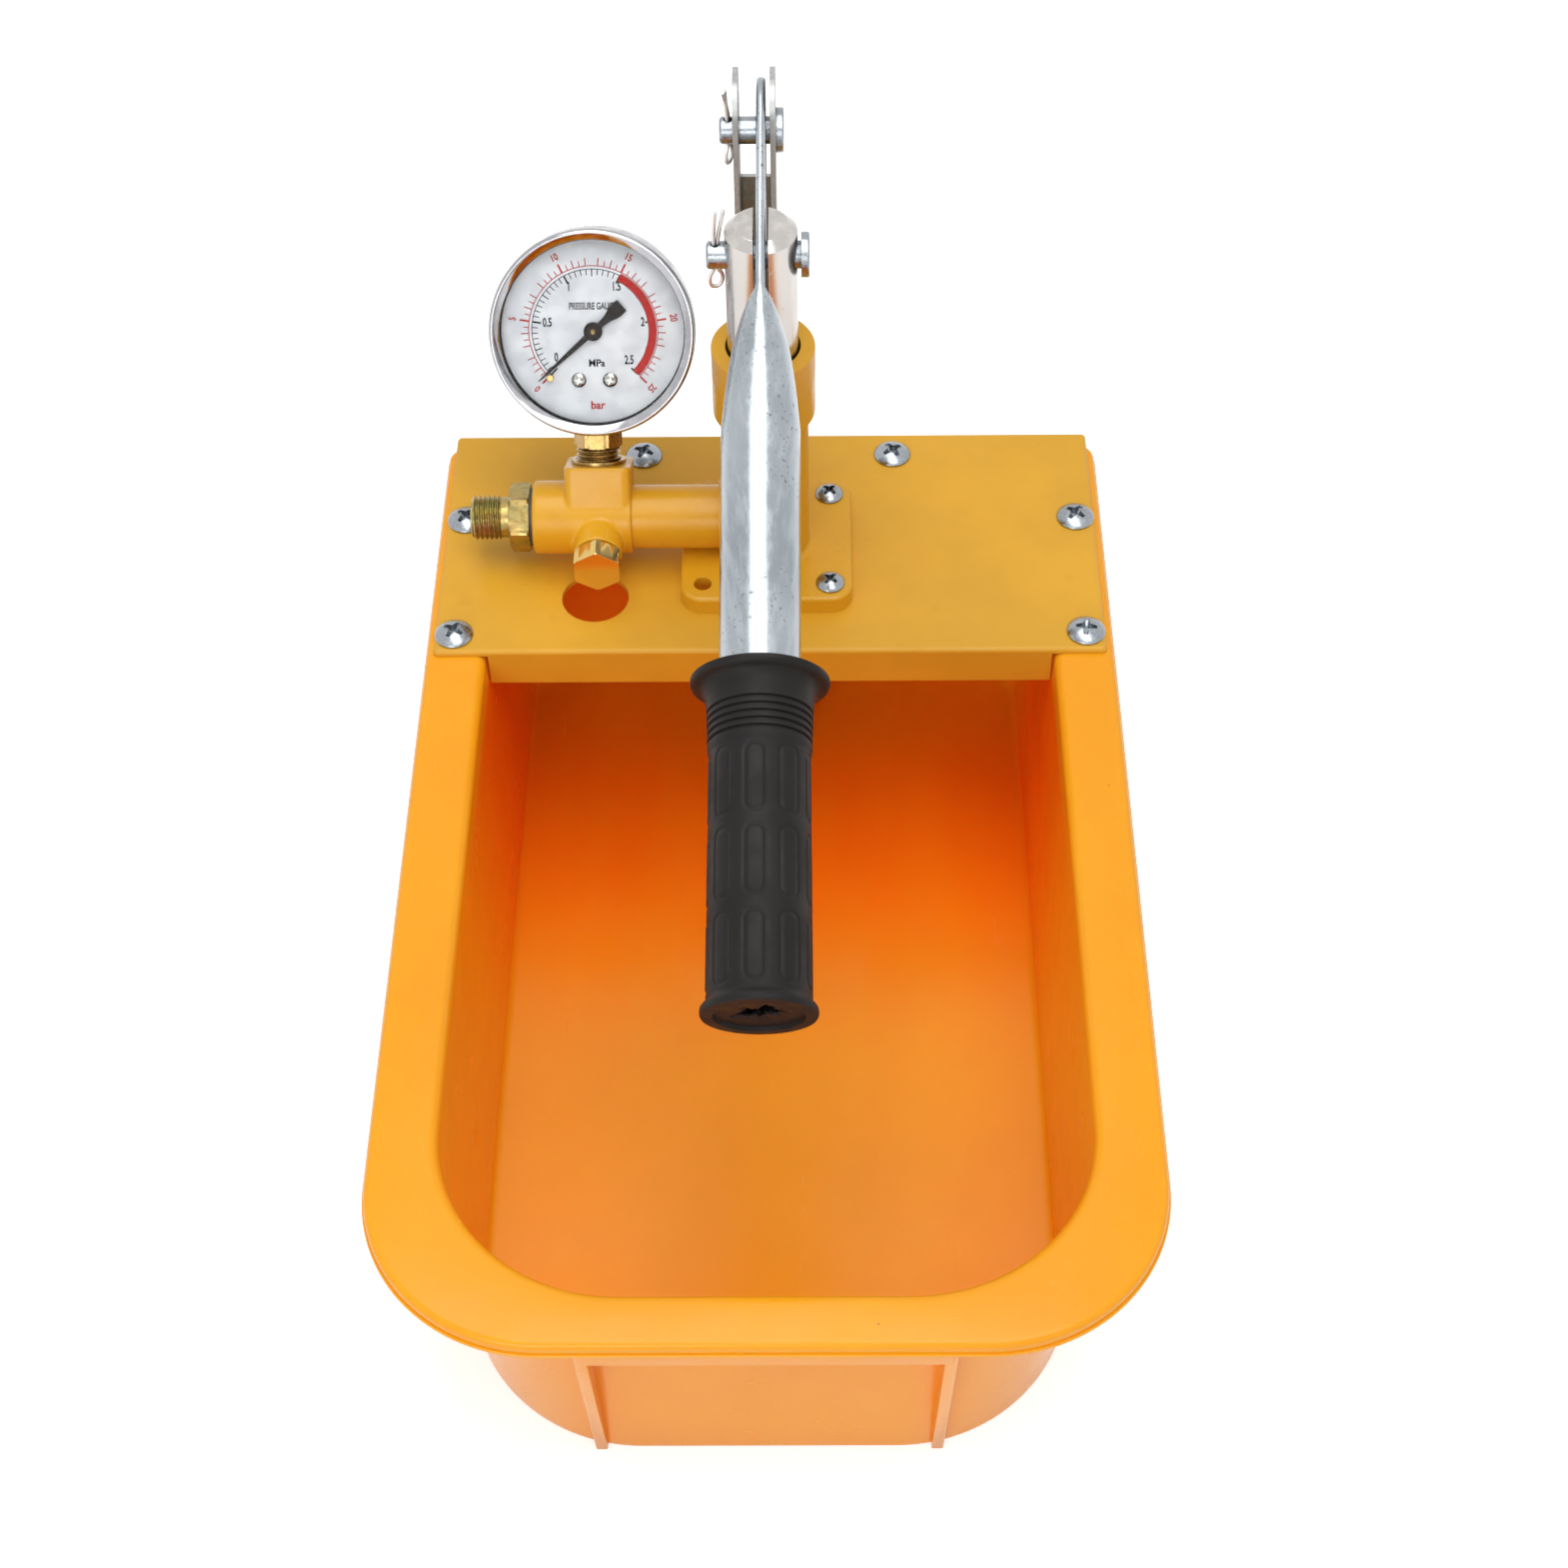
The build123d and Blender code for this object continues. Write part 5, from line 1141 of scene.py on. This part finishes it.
class PUMP_OT_lever(bpy.types.Operator):
    """Presses the lever from a tube: a flat blade behind, a flare and the round tube under the grip"""

    bl_idname = "test_pump.lever"
    bl_label = "Lever"

    blade_thickness, blade_height, blade_end, blade_corner = 2.6, 31.0, 13.5, 12.5
    edge_round, edge_start, square_share = 0.6, 0.35, 0.35
    tube_diameter, tube_wall, end_wall, end_gap = 22.2, 1.3, 1.2, 1.4
    blade_step, flare_step, tube_step, bore_step = 6.0, 0.6, 12.0, 24.0
    pin_radius, pin_play, slot_travel, slot_slack, through = 4.0, 0.05, 3.2, 0.35, 20.0
    crease = 40.0

    def execute(self, context):
        start, end = lever_arm + flare_start, lever_arm + flare_end
        tube_end = lever_arm + grip_end - self.end_wall - self.end_gap
        thick, tall, round_size = self.blade_thickness, self.blade_height, self.tube_diameter
        rings = []
        corner = self.blade_corner
        for x, y in arc((corner - self.blade_end, 0), corner, 180, 90, 10):
            full = min(1.0, (x + self.blade_end) / self.edge_round + self.edge_start)
            rings.append(lever_ring(x, thick * full, 2 * (tall / 2 - corner + y), 1.0))
        rings += [lever_ring(z, thick, tall, 1.0) for z in spread(0.5, start - 1.0, self.blade_step)]
        for z in spread(start, end, self.flare_step):
            along = (z - start) / (end - start)
            width = thick + share_along(along, 1) * (round_size - thick)
            height = tall + share_along(along, 2) * (round_size - tall)
            rings.append(lever_ring(z, width, height, 1 - ease(along / self.square_share)))
        for stations, wall in (
            (spread(end + 2, tube_end, self.tube_step), 0.0),
            (spread(tube_end, end, self.bore_step), self.tube_wall),
        ):
            rings += [lever_ring(z, round_size, round_size, 0.0, wall) for z in stations]
        lever = piece_from("lever_pressed", *skin(rings), lever_place, self.crease)
        cut(lever, self.pin_hole())
        cut(lever, self.pin_slot())
        shade(lever.data, self.crease)
        stand_for(lever, "lever_steel", "lever")
        return {"FINISHED"}

    def pin_hole(self):
        """A cutter for the hole of the link's pin."""
        radius = self.pin_radius + self.pin_play
        rings = turned([(-self.through, radius), (self.through, radius)], 48)
        return piece_from("hole", *skin(rings), standing(top_pin_centre, (1, 0, 0)))

    def pin_slot(self):
        """A cutter for the slot in which the plunger's pin travels."""
        outline = []
        for side, start in ((0, -90), (-self.slot_travel, 90)):
            outline += arc((side, 0), self.pin_radius + self.slot_slack, start, start + 180, 24)
        rings = [[(x, y, z) for y, z in outline] for x in (-self.through, self.through)]
        return piece_from("slot", *skin(rings), lever_place @ Matrix.Translation((0, 0, lever_arm)))


class PUMP_OT_grip(bpy.types.Operator):
    """Moulds the rubber grip with its guard flange, rings, rows of pads and torn end skin"""

    bl_idname = "test_pump.grip"
    bl_label = "Grip"

    # Outlines as (station, radius), with stations counted from the plunger's pin
    guard = (
        (134.0, 11.2), (133.9, 13.0), (134.05, 18.2), (134.4, 18.75), (135.0, 18.8), (135.7, 18.55),
        (136.3, 17.8), (136.6, 16.9), (137.0, 16.2), (137.8, 15.5), (139.0, 14.95), (141.0, 14.55),
        (143.0, 14.35),
    )
    ring_count, first_ring, ring_pitch, ring_taper = 5, 144.3, 2.1, 0.07
    ring = ((-0.45, 14.3), (-0.15, 13.65), (0.35, 13.65), (0.65, 14.25), (1.1, 14.3))
    after_rings = ((154.6, 13.95), (155.6, 13.75))
    body_start, body_end, body_radius, body_flare, body_step = 156.0, 223.4, 13.55, 0.25 / 68, 0.36
    flare = (
        (224.0, 13.85), (224.6, 14.1), (225.2, 14.75), (225.8, 15.2), (226.6, 15.35), (227.4, 15.3),
        (227.9, 15.0),
    )
    end = (
        (grip_end, 12.0), (226.9, 11.6), (226.8, 8.0), (226.6, 5.2), (226.2, 4.3), (225.75, 4.4),
        (225.75, 11.2),
    )
    torn_reach = 6.0
    pad_rows = ((156.7, 176.7), (179.6, 199.6), (202.8, 222.5))
    pads_start, pads_end, pad_rise, pad_bend_share, turn_share = 155.0, 224.0, 0.12, 0.85, 0.1
    count = 252

    def outline(self):
        """The grip's outer outline: guard flange, rings, body and flared end."""
        stations = list(self.guard)
        for k in range(self.ring_count):
            at, less = self.first_ring + self.ring_pitch * k, self.ring_taper * k
            stations += [(at + along, radius - less) for along, radius in self.ring]
        stations += self.after_rings
        for z in spread(self.body_start, self.body_end, self.body_step):
            stations.append((z, self.body_radius + self.body_flare * (z - self.body_start)))
        return stations + list(self.flare)

    def execute(self, context):
        sizes = context.scene.test_pump.grip
        half_pad, groove = sizes.pad_width / MM / 2, sizes.groove_width / MM
        depth, columns = sizes.groove_depth / MM, sizes.pad_columns
        bend = half_pad * self.pad_bend_share

        def carve(angle, station, radius):
            row = next((r for r in self.pad_rows if r[0] - 1 < station < r[1] + 1), None)
            if row is None or not self.pads_start < station < self.pads_end:
                return radius
            turn = ((angle - pi / 2) / tau * columns + 0.5 - self.turn_share) % 1 - 0.5
            across = abs(turn) * tau / columns * radius
            half_long, along = (row[1] - row[0]) / 2, abs(station - (row[0] + row[1]) / 2)
            if max(across - half_pad, along - half_long) > groove:
                return radius
            off = hypot(max(across - half_pad + bend, 0.0), max(along - half_long + bend, 0.0)) - bend
            dip = 1 - ease(abs(off + groove / 2) / (groove * 0.62))
            return radius - depth * dip + self.pad_rise * ease((-off - groove) / 0.6)

        def tear(angle, _, reach):
            if reach > self.torn_reach:
                return reach
            ragged = 1 + 0.30 * sin(2 * angle + 0.7) + 0.22 * sin(5 * angle + 2.0) + 0.14 * sin(11 * angle)
            return reach * ragged

        rings = turned(self.outline(), self.count, carve) + turned(self.end, self.count, tear)
        to_pin = lever_place @ Matrix.Translation((0, 0, lever_arm))
        stand_for(piece_from("grip_sleeve", *tube(rings), to_pin, 50.0), "black_rubber", "grip")
        return {"FINISHED"}


# Gauge


class PUMP_OT_gauge_bezel(bpy.types.Operator):
    """Turns the chromed bezel"""

    bl_idname = "test_pump.gauge_bezel"
    bl_label = "Gauge bezel"

    back = ((5.0, 30.1), (5.0, 31.2), (5.3, 31.5), (12.0, 31.5))
    crown_height, crown_radius, crown_rise, crown_width = 12.6, 30.5, 1.4, 1.0
    front = ((13.92, 30.2), (13.75, 29.9), (12.95, 28.3), (12.82, 28.2), (12.81, 30.1))

    def execute(self, context):
        turns = [radians(angle) for angle in range(10, 91, 10)]
        crown = [
            (self.crown_height + self.crown_rise * sin(t), self.crown_radius + self.crown_width * cos(t))
            for t in turns
        ]
        rings = turned([*self.back, *crown, *self.front], 144)
        stand_for(piece_from("gauge_bezel_turned", *tube(rings), gauge_place, 50.0), "chrome", "gauge_bezel")
        return {"FINISHED"}


def tick_tree():
    """A node tree that lays flat ticks round an arc, leaving out every so many."""
    counts = dict.fromkeys(("Count", "Skip", "First_skipped"), "Int")
    lengths = dict.fromkeys(("First_angle", "Step", "Inner", "Outer", "Width", "Height"), "Float")
    kinds = {"Seedbed": "Geometry", **counts, **lengths, "Finish": "Material"}
    tree, given = sown_tree("Scale ticks", "Ticks", **kinds)

    def maths(operation, first, second=0.0):
        return add(tree, "ShaderNodeMath", {0: first, 1: second}, operation=operation).outputs[0]

    def turn(index):
        return maths("SUBTRACT", given["First angle"], maths("MULTIPLY", index, given["Step"]))

    angle = turn(add(tree, "GeometryNodeInputIndex").outputs[0])
    reach = maths("MULTIPLY", maths("ADD", given["Inner"], given["Outer"]), 0.5)
    across, up = (maths("MULTIPLY", maths(kind, angle), reach) for kind in ("COSINE", "SINE"))
    place = add(tree, "ShaderNodeCombineXYZ", {0: across, 1: up, 2: given["Height"]}).outputs[0]
    points = add(tree, "GeometryNodePoints", {"Count": given["Count"], "Position": place}).outputs[0]
    length = maths("SUBTRACT", given["Outer"], given["Inner"])
    inputs = {"Size X": length, "Size Y": given["Width"], "Vertices X": 2, "Vertices Y": 2}
    tick = add(tree, "GeometryNodeMeshGrid", inputs).outputs[0]
    index = add(tree, "GeometryNodeInputIndex").outputs[0]
    kept = maths("MODULO", maths("ADD", index, given["First skipped"]), given["Skip"])
    spin = add(tree, "ShaderNodeCombineXYZ", {2: turn(index)}).outputs[0]
    inputs = {"Points": points, "Selection": kept, "Instance": tick, "Rotation": spin}
    ticks = add(tree, "GeometryNodeInstanceOnPoints", inputs).outputs[0]
    return reaped(tree, ticks, given["Finish"])


def ribbon(inner, outer, start, end, height, steps=120):
    """The mesh of a flat arc strip."""
    points = []
    for k in range(steps + 1):
        angle = radians(start + (end - start) * k / steps)
        points += [(r * cos(angle), r * sin(angle), height) for r in (inner, outer)]
    mesh = bpy.data.meshes.new("strip")
    mesh.from_pydata(points, [], [(2 * k, 2 * k + 1, 2 * k + 3, 2 * k + 2) for k in range(steps)])
    return mesh


def lettering(words, x, y, tall, narrow, turn, height):
    """The mesh of a word of flat print, centred on a point of the dial."""
    font = bpy.data.curves.new("words", "FONT")
    font.body = words
    font.align_x = "CENTER"
    font.align_y = "CENTER"
    font.size = tall * 1.4
    font.offset = tall * 0.04
    font.resolution_u = 4
    mesh = baked(placed("words", font))
    narrowed = Matrix.Diagonal((narrow, 1, 1, 1))
    mesh.transform(Matrix.Translation((x, y, height)) @ Matrix.Rotation(turn, 4, "Z") @ narrowed)
    return mesh


def gather(name, meshes, place):
    """One flat piece from several local meshes, with all its faces to the front."""
    work = bmesh.new()
    for mesh in meshes:
        work.from_mesh(mesh)
    work.transform(place)
    outward = place.to_3x3().col[2].normalized()
    for face in work.faces:
        face.normal_update()
        face.smooth = False
    bmesh.ops.reverse_faces(work, faces=[face for face in work.faces if face.normal.dot(outward) < 0])
    mesh = bpy.data.meshes.new(name)
    work.to_mesh(mesh)
    work.free()
    return placed(name, mesh)


class PUMP_OT_dial_print(bpy.types.Operator):
    """Prints the dial's two scales, its figures and its warning band"""

    bl_idname = "test_pump.dial_print"
    bl_label = "Dial print"

    ink, over = 7.63, 7.65
    zero, sweep, band_start, band_end = 225.0, 270.0, 63.0, -45.0
    never = 1000
    # How many ticks, which of them are left out, their far end and their width
    red_ticks = ((51, 5, 21.5, 0.28), (26, 5, 22.2, 0.32), (6, never, 22.7, 0.55))
    black_ticks = ((51, 5, 17.0, 0.28), (11, 2, 16.6, 0.34), (6, never, 16.1, 0.55))
    red_line, black_line, band_line = 0.14, 0.12, 0.07
    figures_reach, figures_step, figures_size = 24.9, 54.0, (2.1, 0.8)
    # Words, their place, their height and how narrow they are
    red_words = (("bar", 0.8, -22.9, 2.5, 0.95),)
    black_words = (
        ("0", -11.6, -8.1, 2.7, 0.62),
        ("0.5", -14.0, 2.6, 2.7, 0.62),
        ("1", -7.1, 13.4, 2.7, 0.62),
        ("1.5", 7.4, 13.4, 2.7, 0.62),
        ("2", 15.2, 2.6, 2.7, 0.62),
        ("2.5", 10.8, -9.0, 2.7, 0.62),
        ("PRESSURE GAUGE", 0, 7.5, 2.1, 0.62),
        ("MPa", 0.8, -9.9, 2.2, 0.95),
    )

    def execute(self, context):
        sizes = context.scene.test_pump.gauge
        bar, mega = sizes.bar_arc / MM, sizes.pressure_arc / MM
        band = sizes.band_inner / MM, sizes.band_outer / MM
        tree = tick_tree()
        red = [self.scale_line(bar, self.red_line)]
        for count, skip, end, wide in self.red_ticks:
            red.append(self.ticks(tree, count, skip, bar, end, wide))
        red.append(ribbon(*band, self.band_start, self.band_end, self.over))
        for k in range(6):
            angle = radians(self.zero - self.figures_step * k)
            x, y = self.figures_reach * cos(angle), self.figures_reach * sin(angle)
            red.append(lettering(str(5 * k), x, y, *self.figures_size, angle - pi / 2, self.ink))
        black = [self.scale_line(mega, self.black_line)]
        for count, skip, end, wide in self.black_ticks:
            black.append(self.ticks(tree, count, skip, end, mega, wide))
        for edge in band:
            ends = edge - self.band_line, edge + self.band_line
            black.append(ribbon(*ends, self.band_start, self.band_end, self.over))
        for print_name, meshes, words in (("red", red, self.red_words), ("black", black, self.black_words)):
            meshes += [lettering(*word, 0, self.ink) for word in words]
            piece = gather(f"dial_{print_name}_print", meshes, gauge_place)
            wear(piece, "print_" + print_name)
            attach(piece, "base")
        return {"FINISHED"}

    def scale_line(self, radius, half_wide):
        """The mesh of a scale's arc."""
        return ribbon(radius - half_wide, radius + half_wide, self.zero, self.zero - self.sweep, self.ink)

    def ticks(self, tree, count, skip, inner, outer, width):
        """The mesh of one kind of tick round the whole scale."""
        return growth(
            tree,
            [],
            Count=count,
            Skip=skip,
            First_skipped=0 if skip < count else 1,
            First_angle=radians(self.zero),
            Step=radians(self.sweep / (count - 1)),
            Inner=inner,
            Outer=outer,
            Width=width,
            Height=self.ink,
            Finish=bpy.data.materials["print_black"],
        )


class PUMP_OT_pointer(bpy.types.Operator):
    """Stamps the gauge's pointer with its hub and spade tail"""

    bl_idname = "test_pump.pointer"
    bl_label = "Pointer"

    # The blade as (along, half width), and the hub as (height, radius)
    blade = (
        (23.0, 0.12), (20.0, 0.35), (2.4, 0.95), (-4.0, 1.0), (-6.2, 1.3), (-8.0, 2.0), (-9.4, 2.3),
        (-11.8, 2.2), (-12.0, 2.0),
    )
    hub = ((8.35, 0.76), (8.35, 2.6), (8.5, 2.85), (9.3, 2.85), (9.7, 2.45), (9.95, 1.6), (9.95, 0.76))
    bore = ((8.0, 0.8), (10.0, 0.8))
    low, high, edge, top_share, at_zero = 8.5, 9.0, 0.12, 0.86, 221.5
    crease, count = 30.0, 48

    def execute(self, context):
        low, high, below = self.low, self.high, self.high - self.edge
        rings = []
        for x, y in self.blade:
            inner = y * self.top_share
            section = ((-y, low), (y, low), (y, below), (inner, high), (-inner, high), (-y, below))
            rings.append([(x, across, up) for across, up in section])
        turn = gauge_place @ Matrix.Rotation(radians(self.at_zero), 4, "Z")
        pointer = piece_from("pointer_stamped", *skin(rings), turn, self.crease)
        cut(pointer, piece_from("bore", *skin(turned(self.bore, self.count)), gauge_place))
        cut(pointer, piece_from("hub", *tube(turned(self.hub, self.count)), gauge_place, 40.0), "UNION")
        shade(pointer.data, self.crease)
        stand_for(pointer, "pointer_black", "gauge_pointer")
        return {"FINISHED"}


# The stage


def seen_rays(tree):
    """1 for what the camera sees, directly, in a mirror or through glass."""
    rays = add(tree, "ShaderNodeLightPath").outputs
    seen = rays["Is Camera Ray"]
    for kind in ("Is Glossy Ray", "Is Transmission Ray"):
        seen = add(tree, "ShaderNodeMath", {0: seen, 1: rays[kind]}, operation="MAXIMUM").outputs[0]
    return seen


class PUMP_OT_stage(bpy.types.Operator):
    """Sets the floor, the soft lamps and the camera"""

    bl_idname = "test_pump.stage"
    bl_label = "Stage"

    floor_half, floor_grey, floor_glow, room_light = 3.0, 0.80, 0.58, 0.48
    # Name, place, aim, sides and watts
    lamps = (
        ("overhead", (0.05, -0.10, 1.30), (0.0, 0.0, 0.0), (0.75, 1.45), 10.0),
        ("front_fill", (-0.45, -1.50, 0.80), (0.0, 0.0, 0.08), (0.9, 0.7), 6.8),
    )
    camera_place, camera_turn = (11.8, -503.43, 706.42), (-0.7937, 49.698, -0.8797)
    pixels, focal_pixels, sensor, nearest = 1569, 2717.5, 36.0, 0.01

    def execute(self, context):
        scene = context.scene
        scene.view_settings.view_transform = "Standard"
        self.make_floor()
        self.make_world(scene)
        for name, place, aim, sides, watts in self.lamps:
            lamp = bpy.data.lights.new(name, "AREA")
            lamp.shape = "RECTANGLE"
            lamp.size, lamp.size_y = sides
            lamp.energy = watts
            carrier = placed(name, lamp)
            carrier.rotation_euler = (Vector(aim) - Vector(place)).to_track_quat("-Z", "Y").to_euler()
            carrier.location = place
        self.make_camera(scene)
        return {"FINISHED"}

    def make_floor(self):
        half = self.floor_half
        mesh = bpy.data.meshes.new("floor")
        corners = [(-half, -half, 0), (half, -half, 0), (half, half, 0), (-half, half, 0)]
        mesh.from_pydata(corners, [], [(0, 1, 2, 3)])
        material = emptied("pale_floor")
        tree = material.node_tree
        matt = add(tree, "ShaderNodeBsdfDiffuse", {"Color": (*[self.floor_grey] * 3, 1)}).outputs[0]
        glow = add(tree, "ShaderNodeEmission", {"Color": (1, 1, 1, 1), "Strength": self.floor_glow})
        both = add(tree, "ShaderNodeAddShader", {0: matt, 1: glow.outputs[0]}).outputs[0]
        shown = add(tree, "ShaderNodeMixShader", {0: seen_rays(tree), 1: matt, 2: both})
        add(tree, "ShaderNodeOutputMaterial", {"Surface": shown.outputs[0]})
        mesh.materials.append(material)
        floor_piece = placed("floor", mesh)

    def make_world(self, scene):
        scene.world = bpy.data.worlds.new("white_room")
        scene.world.use_nodes = True
        tree = scene.world.node_tree
        tree.nodes.clear()
        inputs = {0: seen_rays(tree), 1: 0.0, 2: 1.0, 3: self.room_light, 4: 1.0}
        strength = add(tree, "ShaderNodeMapRange", inputs).outputs[0]
        light = add(tree, "ShaderNodeBackground", {"Color": (1, 1, 1, 1), "Strength": strength})
        add(tree, "ShaderNodeOutputWorld", {"Surface": light.outputs[0]})

    def make_camera(self, scene):
        yaw, pitch, roll = (radians(turn) for turn in self.camera_turn)
        ahead = Vector((sin(yaw) * cos(pitch), cos(yaw) * cos(pitch), -sin(pitch)))
        right = Vector((cos(yaw), -sin(yaw), 0))
        up = right.cross(ahead)
        right, up = right * cos(roll) + up * sin(roll), up * cos(roll) - right * sin(roll)
        camera = bpy.data.cameras.new("camera")
        camera.sensor_width = self.sensor
        camera.lens = self.focal_pixels / self.pixels * self.sensor
        camera.clip_start = self.nearest
        carrier = placed("camera", camera)
        turn = Matrix((right, up, -ahead)).transposed().to_4x4()
        carrier.matrix_world = Matrix.Translation(Vector(self.camera_place) * MM) @ turn
        scene.camera = carrier


class PUMP_PT_panel(bpy.types.Panel):
    """Lists the pump's pieces and sizes"""

    bl_idname = "PUMP_PT_panel"
    bl_label = "Test Pump"
    bl_space_type = "VIEW_3D"
    bl_region_type = "UI"
    bl_category = "Test Pump"

    def draw(self, context):
        settings = context.scene.test_pump
        for operator in OPERATORS:
            self.layout.operator(operator.bl_idname)
        for group in (settings.tub, settings.grip, settings.casting, settings.gauge, settings.colours):
            box = self.layout.box()
            for name in group.bl_rna.properties.keys():
                if name not in ("rna_type", "name"):
                    box.prop(group, name)


OPERATORS = (
    PUMP_OT_finishes,
    PUMP_OT_tub,
    PUMP_OT_screws,
    PUMP_OT_fittings,
    PUMP_OT_castings,
    PUMP_OT_split_pins,
    PUMP_OT_lever,
    PUMP_OT_grip,
    PUMP_OT_gauge_bezel,
    PUMP_OT_dial_print,
    PUMP_OT_pointer,
    PUMP_OT_stage,
)
CLASSES = (TubSizes, GripSizes, CastingSizes, GaugeSizes, Colours, PumpSettings, *OPERATORS, PUMP_PT_panel)


def register():
    """Registers the classes and the settings."""
    for kind in CLASSES:
        bpy.utils.register_class(kind)
    bpy.types.Scene.test_pump = PointerProperty(type=PumpSettings)


def unregister():
    """Takes the classes and the settings away again."""
    del bpy.types.Scene.test_pump
    for kind in reversed(CLASSES):
        bpy.utils.unregister_class(kind)


def main():
    """Builds every piece in order."""
    register()
    bpy.ops.test_pump.finishes()
    bpy.ops.test_pump.tub()
    bpy.ops.test_pump.screws()
    bpy.ops.test_pump.fittings()
    bpy.ops.test_pump.castings()
    bpy.ops.test_pump.split_pins()
    bpy.ops.test_pump.lever()
    bpy.ops.test_pump.grip()
    bpy.ops.test_pump.gauge_bezel()
    bpy.ops.test_pump.dial_print()
    bpy.ops.test_pump.pointer()
    bpy.ops.test_pump.stage()


if __name__ == "__main__":
    main()
